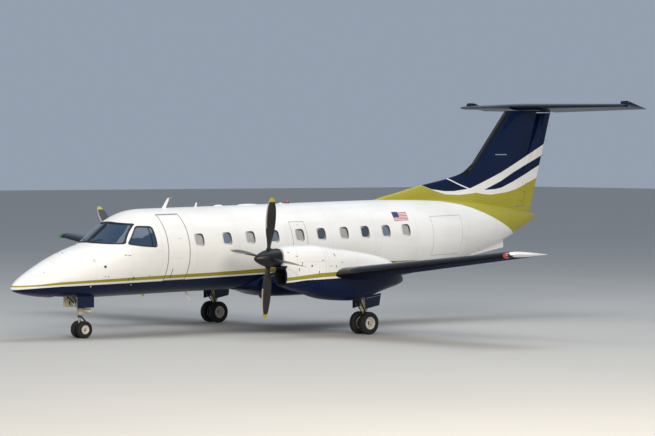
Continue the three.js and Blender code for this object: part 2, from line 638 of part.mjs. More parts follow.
const TAIL = { half: 3470, z: 3745, rootLead: 17800, rootTrail: 19640, tipLead: 19030, tipTrail: 20070,
  thick: 0.11, hingeRoot: 18980, hingeTip: 19660, droop: 0.27, play: 14 };
{
  const ring = (y, kept) => {
    const t = Math.abs(y) / TAIL.half;
    const lead = lerp(TAIL.rootLead, TAIL.tipLead, t);
    const trail = lerp(TAIL.rootTrail, TAIL.tipTrail, t);
    return airfoil(TAIL.thick * kept, false).map(([x, v]) =>
      new THREE.Vector3(at(lead + x * (trail - lead)), y, TAIL.z + v * (trail - lead)));
  };
  const half = TAIL.half;
  const plane = loft([ring(-half, 0.35), ring(-half + 60, 1), ring(0, 1), ring(half - 60, 1), ring(half, 0.35)]);
  const hinge = y => lerp(TAIL.hingeRoot, TAIL.hingeTip, Math.abs(y) / half);
  const y0 = 90;
  const horn = half - 330;
  const hornFront = at(hinge(horn) - 300);
  let fixed = plane;
  for (const [word, side] of sides) {
    const region = grow => [
      [at(hinge(y0)), y0 - grow], [at(hinge(horn)), horn - grow], [hornFront + grow, horn - grow],
      [hornFront + grow, half + 50], [at(20500), half + 50], [at(20500), y0 - grow],
    ].map(([x, y]) => [x, side * y]);
    const cut = grow => slab(side > 0 ? region(grow) : region(grow).reverse(), 'z', 3000, 4500);
    const well = loft([[110, 62, 40], [horn - 60, 36, 22]].map(([y, ahead, aft]) => {
      const front = at(lerp(TAIL.rootLead, TAIL.tipLead, y / half) + 260);
      const back = at(hinge(y) + 30);
      return [[front, -ahead], [back, -aft], [back, aft], [front, ahead]].map(([x, z]) =>
        new THREE.Vector3(x, side * y, TAIL.z + z));
    }));
    const pointAt = y => [at(hinge(y)), side * y, TAIL.z];
    const foot = pointAt(y0);
    const head = pointAt(horn);
    const hingeBar = (r0, r1, grow) => bar(pointAt(y0 - 30), pointAt(horn + 30), r0, r1, 16).intersect(
      block(at(20500), at(18000), side * (y0 - grow), side * horn, 3000, 4500));
    const elevator = plane.intersect(cut(0)).add(hingeBar(62, 38, 0));
    const axis = new THREE.Vector3(...head).sub(new THREE.Vector3(...foot)).normalize();
    const droop = new THREE.Matrix4().makeTranslation(...foot)
      .multiply(new THREE.Matrix4().makeRotationAxis(axis, -side * TAIL.droop))
      .multiply(new THREE.Matrix4().makeTranslation(...foot.map(v => -v)));
    fixed = fixed.subtract(cut(TAIL.play)).subtract(hingeBar(82, 56, TAIL.play)).subtract(well);
    add(airframe, `elevator_${word}`, elevator.transform(droop.toArray()), paint.navy,
      side > 0 ? [foot, head] : [head, foot]);
  }
  add(airframe, 'tailplane', fixed, paint.navy);
}

// Propellers

// columns: share of the radius, chord, thickness, blade angle in degrees from the disc
const BLADE = [
  [0.07, 110, 104, 96],
  [0.19, 120, 90, 96],
  [0.30, 205, 55, 97],
  [0.45, 300, 36, 92],
  [0.62, 325, 26, 86],
  [0.80, 300, 18, 81],
  [0.93, 240, 13, 79],
  [1.00, 150, 10, 78],
];
// columns: distance aft of the spinner's tip, radius
const SPINNER_FORM = [[0, 0], [25, 45], [100, 100], [220, 160], [380, 215], [560, 244], [770, 250]];

function bladeSolid() {
  const rings = BLADE.map(([share, chord, thick, angle]) => {
    const a = THREE.MathUtils.degToRad(angle);
    const ring = [];
    for (let j = 0; j < 8; j++) {
      const w = 2 * Math.PI * j / 8;
      const u = chord / 2 * Math.cos(w);
      const v = thick / 2 * Math.sin(w);
      ring.push(new THREE.Vector3(u * Math.sin(a) + v * Math.cos(a), u * Math.cos(a) - v * Math.sin(a),
        share * PROP_RADIUS));
    }
    return ring;
  });
  return loft(rings);
}

const PROP_SET = { left: -6.5, right: 40 };
for (const [word, side] of sides) {
  const turn = PROP_SET[word];
  let propeller = bar([95, 0, 0], [-120, 0, 0], 150, 150, 20)
    .add(bar([-100, 0, 0], [-420, 0, 0], SPINNER.hole - 6, SPINNER.hole - 6, 20));
  for (let k = 0; k < BLADES; k++) {
    propeller = propeller.add(bladeSolid().rotate([turn + 90 * k, 0, 0]));
  }
  const outer = SPINNER_FORM.map(([aft, r]) => [r, SPINNER.tip + aft]);
  const toX = profile => {
    const geometry = new THREE.LatheGeometry(profile.map(([r, s]) => new THREE.Vector2(r, -s)), 16);
    geometry.rotateZ(-Math.PI / 2);
    return solidOf(geometry);
  };
  const shell = toX([...outer, [SPINNER.hole, SPINNER.back], [SPINNER.hole, SPINNER.back - 18],
    [232, SPINNER.back - 18], [205, SPINNER.back - 290], [150, SPINNER.back - 520], [0, SPINNER.tip + 90]]);
  let spinner = shell;
  for (let k = 0; k < BLADES; k++) {
    spinner = spinner.subtract(bar([0, 0, 0], [0, 0, 400], 80, 80, 10).rotate([turn + 90 * k, 0, 0])
      .translate([at(PROP_STATION), 0, 0]));
  }
  add(airframe, `spinner_${word}`, spinner.translate([0, side * TRACK_HALF, THRUST_Z]), paint.black);
  const hub = [at(PROP_STATION), side * TRACK_HALF, THRUST_Z];
  add(airframe, `propeller_${word}`, propeller.translate(hub), paint.black,
    [hub, [hub[0] + 100, hub[1], hub[2]]]);
}

// Wheels

const WHEEL_FACETS = 20;

function twinHub(wheel) {
  const { half, width, rim } = wheel;
  const lip = width * 0.4;
  const outer = [
    [0, half + lip + 8], [38, half + lip + 8], [42, half + 30], [rim - 26, half + 18],
    [rim - 14, half + lip], [rim, half + lip], [rim, half - lip], [rim - 14, half - lip],
    [rim - 26, half - 4], [24, half + 4],
  ];
  return spunAboutY([...outer, ...outer.map(([r, y]) => [r, -y]).reverse()], WHEEL_FACETS);
}

function tyre(wheel) {
  const { radius, width, rim } = wheel;
  const tread = radius / Math.cos(Math.PI / WHEEL_FACETS);
  const w = width / 2;
  const inner = rim + GAP;
  const profile = [
    [inner, -w * 0.8], [inner + 22, -w * 0.97], [lerp(inner, tread, 0.55), -w], [tread * 0.955, -w * 0.78],
    [tread, -w * 0.4], [tread, w * 0.4], [tread * 0.955, w * 0.78], [lerp(inner, tread, 0.55), w],
    [inner + 22, w * 0.97], [inner, w * 0.8], [inner, -w * 0.8],
  ];
  return spunAboutY(profile, WHEEL_FACETS);
}

function wheelSet(name, wheel, y) {
  const place = solid => solid.translate([NOSE_X - wheel.station, y, wheel.radius]);
  const centre = [NOSE_X - wheel.station, y, wheel.radius];
  add(ground, `${name}_hubs`, place(twinHub(wheel)), paint.rim, [centre, [centre[0], y + 100, centre[2]]]);
  add(ground, `${name}_tyre_a`, place(tyre(wheel)).translate([0, wheel.half, 0]), paint.tyre);
  add(ground, `${name}_tyre_b`, place(tyre(wheel)).translate([0, -wheel.half, 0]), paint.tyre);
}
wheelSet('nose_wheel', NOSE_AXLE, 0);
for (const [word, side] of sides) wheelSet(`main_wheel_${word}`, MAIN_AXLE, side * TRACK_HALF);

// Legs
{
  const axle = standing(NOSE_AXLE.station, 0, NOSE_AXLE.radius);
  const trail = 60;
  const pin = standing(NOSE_AXLE.station - trail, 0, 620);
  const head = standing(NOSE_AXLE.station - trail, 0, 1480);
  head[2] = NOSE_BAY.roof - GAP * 2;
  const brace = [at(1500), 0, NOSE_BAY.roof - 30];
  add(airframe, 'nose_leg', bar(pin, [pin[0], 0, head[2]], 58)
    .add(bar([pin[0], -150, head[2] - 120], [pin[0], 150, head[2] - 120], 30))
    .add(bar([pin[0], 0, pin[2] + 260], brace, 26)), paint.legs);
  const low = [pin[0], 0, axle[2]];
  const bored = bar([axle[0], -48, axle[2]], [axle[0], 48, axle[2]], 52, 52, 16)
    .add(bar([pin[0], 0, pin[2] - 8], [low[0], 0, axle[2] + 30], 38))
    .add(block(low[0] - 70, low[0] + 20, -34, 34, axle[2] - 10, axle[2] + 70))
    .subtract(bar([axle[0], -60, axle[2]], [axle[0], 60, axle[2]], 30, 30, 16));
  add(airframe, 'nose_fork', bored, paint.legs, [pin, [pin[0], 0, pin[2] + 100]]);
}
for (const [word, side] of sides) {
  const y = side * TRACK_HALF;
  const axle = standing(MAIN_AXLE.station, y, MAIN_AXLE.radius);
  const top = MAIN_BAY.roof - GAP * 2;
  const leg = bar([axle[0], y, axle[2] + 30], [axle[0], y, axle[2] + 380], 46)
    .add(bar([axle[0], y, axle[2] + 340], [axle[0], y, top], 66))
    .add(bar([axle[0], y - 66, axle[2]], [axle[0], y + 66, axle[2]], 62, 62, 16))
    .add(bar([axle[0], y, axle[2] + 420], [at(8830), y, MAIN_BAY.roof - 60], 30))
    .subtract(bar([axle[0], y - 90, axle[2]], [axle[0], y + 90, axle[2]], 30, 30, 16));
  add(airframe, `main_leg_${word}`, leg, paint.legs);
}

// Gear doors
const NOSE_DOOR = { front: 1850, back: 2385, y: 305, thick: 22, top: -1060, bottom: -1390 };
for (const [word, side] of sides) {
  const y = side * NOSE_DOOR.y;
  const door = block(at(NOSE_DOOR.back), at(NOSE_DOOR.front), y - NOSE_DOOR.thick / 2, y + NOSE_DOOR.thick / 2,
    NOSE_DOOR.bottom, NOSE_DOOR.top).subtract(bodySolid(1500, 2800, GAP * 2));
  add(airframe, `nose_gear_door_${word}`, door, paint.navy);
}

// Each main leg has a pair of doors aft of it, tied together by one rod.
const MAIN_DOOR = [[8990, -1300], [9545, -1235], [9480, -1560], [8990, -1640]];
for (const [word, side] of sides) {
  const y = side * TRACK_HALF;
  const outline = MAIN_DOOR.map(([station, z]) => [at(station), z]);
  let doors = bar([at(9420), y - 258, -1450], [at(9420), y + 258, -1450], 14, 14, 8);
  for (const turn of [-1, 1]) {
    const middle = y + turn * 262;
    doors = doors.add(slab(outline, 'y', middle - 9, middle + 9));
  }
  doors = doors.subtract(onSide(loft(nacelleRings(GAP, 8600, 9950)), side));
  add(airframe, `main_gear_doors_${word}`, doors, paint.navy);
}

const aircraft = new THREE.Group();
aircraft.add(airframe, ground);

export default aircraft;
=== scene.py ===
# %% [markdown]
# # A twin-turboprop airliner over its CAD frame
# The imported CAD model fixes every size, place and joint. This lesson dresses it: smooth skins,
# paint, glass, lamps, aerials, legs and tyres. Each step says what the real thing is, how it
# could be made in Blender, and why it is made this way here.

# %% Load the frame
import bpy
import bmesh
import json
import math
from mathutils import Matrix, Vector


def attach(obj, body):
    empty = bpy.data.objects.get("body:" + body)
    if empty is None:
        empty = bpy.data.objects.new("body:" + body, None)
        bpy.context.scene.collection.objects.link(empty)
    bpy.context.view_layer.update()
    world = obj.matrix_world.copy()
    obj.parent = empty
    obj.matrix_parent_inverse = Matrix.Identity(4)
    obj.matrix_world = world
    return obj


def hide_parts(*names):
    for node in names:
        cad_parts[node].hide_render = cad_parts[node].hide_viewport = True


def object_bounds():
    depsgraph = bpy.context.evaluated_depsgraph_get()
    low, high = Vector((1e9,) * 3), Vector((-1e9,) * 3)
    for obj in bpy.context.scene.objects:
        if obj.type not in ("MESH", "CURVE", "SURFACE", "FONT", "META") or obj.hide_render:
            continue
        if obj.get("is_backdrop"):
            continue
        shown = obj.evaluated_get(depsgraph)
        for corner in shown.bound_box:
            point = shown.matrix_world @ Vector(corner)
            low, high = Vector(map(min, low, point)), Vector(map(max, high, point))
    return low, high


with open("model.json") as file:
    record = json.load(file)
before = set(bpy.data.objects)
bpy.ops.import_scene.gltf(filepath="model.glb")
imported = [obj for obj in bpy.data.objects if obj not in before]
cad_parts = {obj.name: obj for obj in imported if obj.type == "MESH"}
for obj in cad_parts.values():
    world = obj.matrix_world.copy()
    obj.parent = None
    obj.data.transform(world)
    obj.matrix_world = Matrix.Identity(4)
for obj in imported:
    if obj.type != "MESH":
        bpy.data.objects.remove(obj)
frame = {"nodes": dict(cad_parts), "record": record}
CAD_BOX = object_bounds()
record = frame["record"]

# %% [markdown]
# ## The camera
# The photograph was taken from far away with a long lens, so the aircraft hardly tapers with
# distance. The camera's place and lens were solved from known sizes, and its frame is 3:2.

# %% Camera
EYE = Vector((50.73, 60.90, 4.974))
YAW, PITCH, ROLL = -2.2715, -0.0242, 0.0031
LENS, FILM, FAR = 155.45, 36, 400


def aim(yaw, pitch, roll):
    """The turn of a camera that looks along a yaw and a pitch, rolled about its own axis."""
    forward = Vector((math.cos(pitch) * math.cos(yaw), math.cos(pitch) * math.sin(yaw),
                      math.sin(pitch)))
    right = forward.cross(Vector((0, 0, 1))).normalized()
    up = right.cross(forward)
    across = math.cos(roll) * right + math.sin(roll) * up
    above = math.cos(roll) * up - math.sin(roll) * right
    return Matrix((across, above, -forward)).transposed()


def linked(name, data):
    """A new object of the scene that shows some data."""
    made = bpy.data.objects.new(name, data)
    bpy.context.scene.collection.objects.link(made)
    return made


camera = linked("camera", bpy.data.cameras.new("camera"))
camera.matrix_world = Matrix.Translation(EYE) @ aim(YAW, PITCH, ROLL).to_4x4()
camera.data.lens = LENS
camera.data.sensor_width = FILM
camera.data.clip_end = FAR
bpy.context.scene.camera = camera
print("camera", round(EYE.length, 1), "m from the origin")

# %% [markdown]
# ## The airframe's own frame
# An aircraft is drawn along its cabin tube: a station is a distance behind the nose tip, and
# heights are measured from the tube's axis. Parked, the whole airframe leans nose-down on its
# legs, so one matrix carries every piece from the drawing to where it stands.

# %% Stations and the lean
NOSE_X, AXIS_HEIGHT, NOSE_DOWN = 10.035, 2.158, 0.0195
LEAN = Matrix.Translation((NOSE_X, 0, AXIS_HEIGHT)) @ Matrix.Rotation(NOSE_DOWN, 4, "Y")
TRACK = 3.29
SIDES = (("left", 1), ("right", -1))


def spot(station, y, z):
    """A point of the drawing, in metres."""
    return Vector((-station, y, z))


print("nose tip stands at", [round(v, 3) for v in LEAN @ spot(0, 0, -0.79)])

# %% [markdown]
# ## Writing shader maths as Python
# Paint lines are sums of positions. Built by hand that is dozens of Math nodes, so a small
# class wraps a socket and lets ordinary operators add the nodes.

# %% A socket with operators
class Number:
    """One number of a material, which Python's operators work on."""

    def __init__(self, finish, socket):
        self.finish = finish
        self.socket = socket

    def math(self, operation, *others, clamp=False):
        sockets = dict(enumerate((self, *others)))
        node = self.finish.node("Math", sockets, operation=operation, use_clamp=clamp)
        return Number(self.finish, node.outputs[0])

    def __add__(self, other):
        return self.math("ADD", other)

    def __sub__(self, other):
        return self.math("SUBTRACT", other)

    def __mul__(self, other):
        return self.math("MULTIPLY", other)

    def __truediv__(self, other):
        return self.math("DIVIDE", other)

    def __rsub__(self, other):
        node = self.finish.node("Math", {0: other, 1: self}, operation="SUBTRACT")
        return Number(self.finish, node.outputs[0])

    def __neg__(self):
        return self * -1

    def __abs__(self):
        return self.math("ABSOLUTE")

    __radd__ = __add__
    __rmul__ = __mul__

    def over(self, edge, soft=0.006):
        """1 where this is more than edge, 0 where it is less, with a soft step between."""
        return ((self - edge) / soft).math("ADD", 0.5, clamp=True)

    def under(self, edge, soft=0.006):
        """The reverse of over."""
        return 1 - self.over(edge, soft)

    def clamped(self):
        """The same number, kept between 0 and 1."""
        return self.math("ADD", 0.0, clamp=True)

    def either(self, other):
        """The larger of two masks."""
        return self.math("MAXIMUM", other)


# %% [markdown]
# ## A finish
# Every surface here is one Principled shader. One method makes any node: its settings go in
# first, because a ramp's stops or a Math node's operation decide which sockets it has.

# %% The finish class
class Finish:
    """A material under construction."""

    def __init__(self, name, **constants):
        self.material = bpy.data.materials.new(name)
        self.material.use_nodes = True
        self.tree = self.material.node_tree
        self.tree.nodes.clear()
        self.shader = self.node("BsdfPrincipled",
                                {k.replace("_", " "): v for k, v in constants.items()})
        self.node("OutputMaterial", {"Surface": self.shader.outputs["BSDF"]})
        place = self.node("TexCoord").outputs["Object"]
        drawn = self.node("Mapping", {"Vector": place, "Location": (NOSE_X, 0, AXIS_HEIGHT),
                                      "Rotation": (0, NOSE_DOWN, 0)},
                          vector_type="TEXTURE").outputs[0]
        self.place = place
        x, self.y, self.z = self.split(drawn)
        self.station = -x
        self.height = self.split(place)[2]
        self.side = abs(self.y)

    def node(self, kind, sockets=None, stops=None, **settings):
        made = self.tree.nodes.new("ShaderNode" + kind)
        for name, value in settings.items():
            setattr(made, name, value)
        if stops:    # the first stop is at 0 and the last at 1
            elements = made.color_ramp.elements
            elements[0].color, elements[1].color = stops[0][1], stops[-1][1]
            for position, colour in stops[1:-1]:
                elements.new(position).color = colour
        for name, value in (sockets or {}).items():
            self.feed(made.inputs[name], value)
        return made

    def feed(self, socket, value):
        source = value.socket if isinstance(value, Number) else value
        if isinstance(source, bpy.types.NodeSocket):
            self.tree.links.new(source, socket)
        else:
            socket.default_value = source

    def split(self, vector):
        parts = self.node("SeparateXYZ", {0: vector})
        return [Number(self, parts.outputs[k]) for k in range(3)]

    def noise(self, scale, detail=3.0, stretch=(1, 1, 1)):
        """A cloudy number from 0 to 1, its lumps about 1/scale metres wide."""
        turned = self.node("Mapping", {"Vector": self.place, "Scale": stretch}).outputs[0]
        made = self.node("TexNoise", {"Vector": turned, "Scale": scale, "Detail": detail})
        return Number(self, made.outputs[0])

    def line(self, along, points):
        """The height of a drawn line at each place along it, from its points."""
        first, last = points[0][0], points[-1][0]
        low = min(p[1] for p in points)
        tall = max(p[1] for p in points) - low or 1.0
        stops = [((s - first) / (last - first), [(v - low) / tall] * 3 + [1]) for s, v in points]
        ramp = self.node("ValToRGB", {0: (along - first) / (last - first)}, stops=stops)
        return Number(self, ramp.outputs[0]) * tall + low

    def blend(self, mask, below, above, how="MIX"):
        """below where mask is 0 and above where it is 1."""
        sockets = {0: mask, 6: below, 7: above}
        return self.node("Mix", sockets, data_type="RGBA", blend_type=how).outputs[2]

    def dirtied(self, mask, below, filter_colour):
        """below seen through a filter, as much as the mask says, so dark paint stays dark."""
        return self.blend(mask, below, filter_colour, "MULTIPLY")

    def colour(self, value):
        self.feed(self.shader.inputs["Base Color"], value)
        return self

    def rough(self, value):
        self.feed(self.shader.inputs["Roughness"], value)
        return self

    def bump(self, height, depth):
        made = self.node("Bump", {"Height": height, "Distance": depth, "Strength": 1.0})
        self.feed(self.shader.inputs["Normal"], made.outputs[0])
        return self


def rgb(code, alpha=1.0):
    """A colour from its six-figure code, as the linear light that shaders work in."""
    parts = [int(code[k:k + 2], 16) / 255 for k in (0, 2, 4)]
    return [c / 12.92 if c < 0.04045 else ((c + 0.055) / 1.055) ** 2.4 for c in parts] + [alpha]


WHITE, GOLD, NAVY, BLACK = rgb("f4f2ee"), rgb("a0962a"), rgb("02163a"), rgb("101115")
TAIL_GOLD = rgb("aea53a")
print("white paint is", [round(c, 3) for c in WHITE[:3]])

# %% [markdown]
# ## Paint that has been flown
# Aircraft paint is glossy, but never even: rain and hydraulic mist leave faint cloudy areas, and
# panels meet in fine sunken lines. The same weathering goes over every painted surface, so it is
# one function that takes the drawn colour.

# %% Weathered paint
def weathered(finish, colour, seams=None, soot=None):
    """Puts a paint colour on a finish, with clouding, panel lines and dirt."""
    cloud = finish.noise(0.7, 5.0, (1, 1, 1.6))
    streak = finish.noise(1.3, 4.0, (0.35, 3, 3))
    dull = ((cloud * 0.6 + streak * 0.4 - 0.42) * 1.6).clamped()
    colour = finish.dirtied(dull, colour, rgb("e2dfd8"))
    if soot is not None:
        colour = finish.blend(soot * (streak * 0.5 + 0.35), colour, rgb("3a3631"))
    if seams is not None:
        colour = finish.blend(seams * 0.30, colour, rgb("4a4c50"))
        finish.bump(1 - seams, 0.002)
    finish.colour(colour)
    finish.rough(cloud * 0.10 + 0.20)
    return finish


def near(value, places, width=0.003):
    """A thin line wherever the value is at one of the places."""
    found = abs(value - places[0]).under(width, width * 0.7)
    for place in places[1:]:
        found = found.either(abs(value - place).under(width, width * 0.7))
    return found


# %% [markdown]
# ## The livery on the tube
# The body is white above, then a gold stripe, a hairline of white and a navy belly. The stripe
# droops to the nose. The tail is gold behind a long curve. Each edge is a line of points
# (station, height), and a surface point compares its own height with the line's.

# %% Body paint
STRIPE_TOP = [(0.16, -0.72), (0.6, -0.70), (1.1, -0.656), (1.94, -0.635), (2.86, -0.622),
              (4.06, -0.61), (5.9, -0.602), (6.75, -0.591), (7.3, -0.575), (12.2, -0.565),
              (12.9, -0.58), (13.7, -0.61)]
STRIPE_FOOT = [(0.15, -0.76), (0.6, -0.745), (1.11, -0.725), (1.96, -0.709), (2.9, -0.703),
               (4.1, -0.701), (6.8, -0.70), (7.35, -0.69), (13.7, -0.69)]
BELLY_TOP = [(0.02, -0.832), (0.15, -0.818), (0.6, -0.79), (1.12, -0.771), (1.98, -0.765),
             (4.15, -0.761), (6.0, -0.747), (7.5, -0.735), (13.7, -0.735)]
TAIL_EDGE = [(12.35, 1.145), (13.0, 1.125), (13.77, 1.10), (14.6, 1.053), (14.97, 1.0),
             (15.36, 0.933), (15.73, 0.823), (16.115, 0.678), (16.554, 0.496), (16.96, 0.313),
             (17.3, 0.164), (17.64, 0.01)]
FRAMES = [0.56, 1.12, 2.06, 3.1, 4.05, 5.2, 6.62, 8.3, 9.9, 11.5, 13.1, 15.3, 16.6, 17.75]


def striped(finish, top, foot, belly):
    """White with the stripe and the navy belly."""
    stripe = finish.z.under(finish.line(finish.station, top))
    stripe = stripe * finish.z.over(finish.line(finish.station, foot))
    colour = finish.blend(stripe, WHITE, GOLD)
    return finish.blend(finish.z.under(finish.line(finish.station, belly)), colour, NAVY)


def flag_colours(finish, below):
    """A plain striped flag with a blue corner, leaning back with the speed of the aircraft."""
    u = (finish.station - FLAG["front"] - (finish.z - 0.55) * FLAG["lean"]) / FLAG["long"]
    v = (finish.z - FLAG["foot"]) / FLAG["tall"]
    shown = u.over(0, 0.01) * u.under(1, 0.01) * v.over(0, 0.02) * v.under(1, 0.02)
    bars = (v * 6.5).math("FRACT").over(0.5, 0.12)
    corner = u.under(0.42, 0.02) * v.over(0.46, 0.04)
    flag = finish.blend(bars, rgb("f0e8e4"), rgb("b8404c"))
    flag = finish.blend(corner, flag, rgb("3b4a78"))
    return finish.blend(shown, below, flag)


FLAG = {"front": 12.32, "long": 0.55, "foot": 0.545, "tall": 0.265, "lean": 0.16}
body_paint = Finish("body_paint", Specular_IOR_Level=0.18)
tail_gold = body_paint.z.over(body_paint.line(body_paint.station, TAIL_EDGE), 0.012)
body_colour = striped(body_paint, STRIPE_TOP, STRIPE_FOOT, BELLY_TOP)
body_colour = body_paint.blend(tail_gold, body_colour, TAIL_GOLD)
body_colour = flag_colours(body_paint, body_colour)
DOOR = {"front": 4.235, "back": 4.945, "sill": -0.75, "top": 0.985, "inner": 0.3}
CARGO = {"front": 13.75, "back": 15.0, "sill": -0.47, "top": 0.64, "inner": 0.4}
HATCH = {"front": 8.50, "back": 9.02, "sill": -0.08, "top": 0.66}
body_seams = near(body_paint.station, FRAMES, 0.002)


def seal(finish, frame_of, wide=0.013):
    """A soft line round a door or hatch: its rubber seal and the shadow in its gap."""
    s, z = finish.station, finish.z
    upright = near(s, [frame_of["front"], frame_of["back"]], wide)
    upright = upright * z.over(frame_of["sill"] - wide) * z.under(frame_of["top"] + wide)
    level = near(z, [frame_of["sill"], frame_of["top"]], wide)
    level = level * s.over(frame_of["front"] - wide) * s.under(frame_of["back"] + wide)
    return upright.either(level)


port = body_paint.y.over(0.0)
seals = seal(body_paint, DOOR).either(seal(body_paint, CARGO, 0.005) * 0.5) * port
seals = seals.either(seal(body_paint, HATCH, 0.007))
body_colour = body_paint.blend(seals * 0.8, body_colour, rgb("6f7074"))
weathered(body_paint, body_colour, seams=body_seams)
print("body paint:", len(body_paint.tree.nodes), "nodes")

# %% Nacelle paint
COWL_TOP = [(6.1, -0.68), (6.53, -0.66), (6.86, -0.622), (7.3, -0.59), (9.0, -0.57), (10.5, -0.57)]
COWL_FOOT = [(6.1, -0.77), (6.52, -0.75), (6.87, -0.726), (7.4, -0.70), (10.5, -0.69)]
COWL_BELLY = [(6.1, -0.82), (6.5, -0.80), (6.87, -0.757), (7.88, -0.752), (10.5, -0.735)]

nacelle_paint = Finish("nacelle_paint", Specular_IOR_Level=0.2)
cowl_colour = striped(nacelle_paint, COWL_TOP, COWL_FOOT, COWL_BELLY)
lip = nacelle_paint.station.under(6.295, 0.01) * nacelle_paint.z.under(-0.36, 0.02)
cowl_colour = nacelle_paint.blend(lip, cowl_colour, BLACK)
cowl_lines = near(nacelle_paint.station, [6.56, 7.47, 7.58, 8.62, 9.62], 0.004)
cowl_hinge = near(nacelle_paint.z, [-0.28], 0.004) * nacelle_paint.station.under(7.47)
cowl_lines = cowl_lines.either(cowl_hinge)
exhaust_stain = nacelle_paint.station.over(9.9, 0.5) * nacelle_paint.z.under(-0.38, 0.2)
weathered(nacelle_paint, cowl_colour, seams=cowl_lines, soot=exhaust_stain * 0.5)
print("nacelle paint:", len(nacelle_paint.tree.nodes), "nodes")

# %% [markdown]
# ## The fin's ribbons
# On the fin the stripe opens into ribbons that sweep up and back: gold at the foot, white with
# a navy wedge in it, and navy above. Their edges were read against the ground, not the tube, so
# the lines compare the height over the ground.

# %% Fin paint
NAVY_FOOT = [(14.2, 3.96), (14.6, 3.83), (15.11, 3.77), (15.48, 3.77), (15.87, 3.82), (16.08, 3.86),
             (17.29, 4.31), (17.82, 4.54), (18.34, 4.77), (19.25, 5.17)]
GOLD_TOP = [(14.25, 3.94), (14.7, 3.79), (15.11, 3.68), (15.61, 3.66), (16.12, 3.70), (16.26, 3.72),
            (16.5, 3.68), (16.88, 3.66), (17.56, 3.73), (17.98, 3.82), (18.91, 4.15), (19.4, 4.35)]
WEDGE_TOP = [(16.6, 3.81), (17.29, 4.06), (17.82, 4.31), (18.34, 4.52), (19.14, 4.83), (19.5, 4.97)]
WEDGE_FOOT = [(16.6, 3.80), (17.04, 3.82), (17.3, 3.86), (17.82, 4.04), (18.35, 4.25),
              (19.04, 4.54), (19.5, 4.73)]

fin_paint = Finish("fin_paint", Specular_IOR_Level=0.2, Coat_Weight=0.25, Coat_Roughness=0.05)
s, h = fin_paint.station, fin_paint.height
fin_colour = fin_paint.blend(h.under(fin_paint.line(s, NAVY_FOOT), 0.01), NAVY, WHITE)
wedge = h.under(fin_paint.line(s, WEDGE_TOP), 0.01)
wedge = wedge * h.over(fin_paint.line(s, WEDGE_FOOT), 0.01) * s.over(16.62)
fin_colour = fin_paint.blend(wedge, fin_colour, NAVY)
fin_colour = fin_paint.blend(h.under(fin_paint.line(s, GOLD_TOP), 0.01), fin_colour, TAIL_GOLD)
slash = abs(h - 4.13 + (s - 15.27) * 0.397).under(0.018, 0.01) * s.over(15.25) * s.under(16.02)
fin_colour = fin_paint.blend(slash, fin_colour, WHITE)
boot = (s - h * 0.905).under(12.28, 0.02) * h.over(4.22, 0.05)
fin_colour = fin_paint.blend(boot, fin_colour, BLACK)
dash = abs(h - 4.84).under(0.012, 0.008) * s.over(17.08) * s.under(17.55)
fin_colour = fin_paint.blend(dash, fin_colour, rgb("9aa2b4"))
FASTENERS = [(18.07, 0.98), (18.16, 1.26), (18.25, 1.50), (18.45, 2.05), (18.20, 0.94),
             (18.32, 1.22), (18.40, 1.47)]
for station, z in FASTENERS:
    aft, high = s - station, fin_paint.z - z
    dot = (aft * aft + high * high).math("SQRT").under(0.014, 0.006)
    fin_colour = fin_paint.blend(dot, fin_colour, BLACK)
weathered(fin_paint, fin_colour)
print("fin paint:", len(fin_paint.tree.nodes), "nodes")

# %% [markdown]
# ## Wing and tailplane paint
# Both are navy with black rubber de-icing boots along the leading edge. The edge is straight,
# so a boot is everything within a small distance behind a line. The wing's last stretch is
# white, and its gloss ends at the chord line: the underside is matt, as in the photograph.

# %% Wing and tailplane paint
CHORD_ROOT, CHORD_TIP, HALF_SPAN = 2.6, 1.412, 9.89
STRAIGHT, STRAIGHT_SHARE = 9.22, 0.66    # the share of the chord that lies on a straight line
INCIDENCE, WING_FOOT, WING_RISE = 0.028, -1.078, 0.1126
TAIL_LEAD_ROOT, TAIL_LEAD_TIP, TAIL_HALF = 17.8, 19.03, 3.47

wing_paint = Finish("wing_paint", Specular_IOR_Level=0.08, Coat_Roughness=0.05)
chord = CHORD_ROOT - wing_paint.side * ((CHORD_ROOT - CHORD_TIP) / HALF_SPAN)
behind = (wing_paint.station - STRAIGHT + chord * STRAIGHT_SHARE) / chord
wing_colour = wing_paint.blend(behind.under(0.075, 0.006) * wing_paint.side.over(1.9), NAVY, BLACK)
wing_lines = near(wing_paint.side, [2.75, 3.84, 5.1, 6.2, 7.8], 0.004)
wing_lines = wing_lines.either(near(behind, [0.3, 0.62], 0.003))
wing_colour = wing_paint.blend(wing_paint.side.over(9.74, 0.01), wing_colour, WHITE)
weathered(wing_paint, wing_colour, seams=wing_lines)

drop = wing_paint.z - (wing_paint.side * WING_RISE + WING_FOOT) + behind * chord * INCIDENCE
above = drop.over(-0.008, 0.004)
wing_paint.feed(wing_paint.shader.inputs["Coat Weight"], above * 0.5)
wing_paint.rough((1 - above) * 0.55 + wing_paint.noise(0.7, 5.0) * 0.10 + 0.20)

tail_paint = Finish("tail_paint", Specular_IOR_Level=0.2, Coat_Weight=0.3, Coat_Roughness=0.05)
tail_edge = TAIL_LEAD_ROOT + tail_paint.side * ((TAIL_LEAD_TIP - TAIL_LEAD_ROOT) / TAIL_HALF)
tail_colour = tail_paint.blend((tail_paint.station - tail_edge).under(0.13, 0.008), NAVY, BLACK)
weathered(tail_paint, tail_colour, seams=near(tail_paint.side, [0.35, 1.2, 2.3], 0.003))

navy_paint = weathered(Finish("navy_paint", Specular_IOR_Level=0.2), NAVY)
white_paint = weathered(Finish("white_paint", Specular_IOR_Level=0.3), WHITE)
print("wing paint:", len(wing_paint.tree.nodes), "nodes")

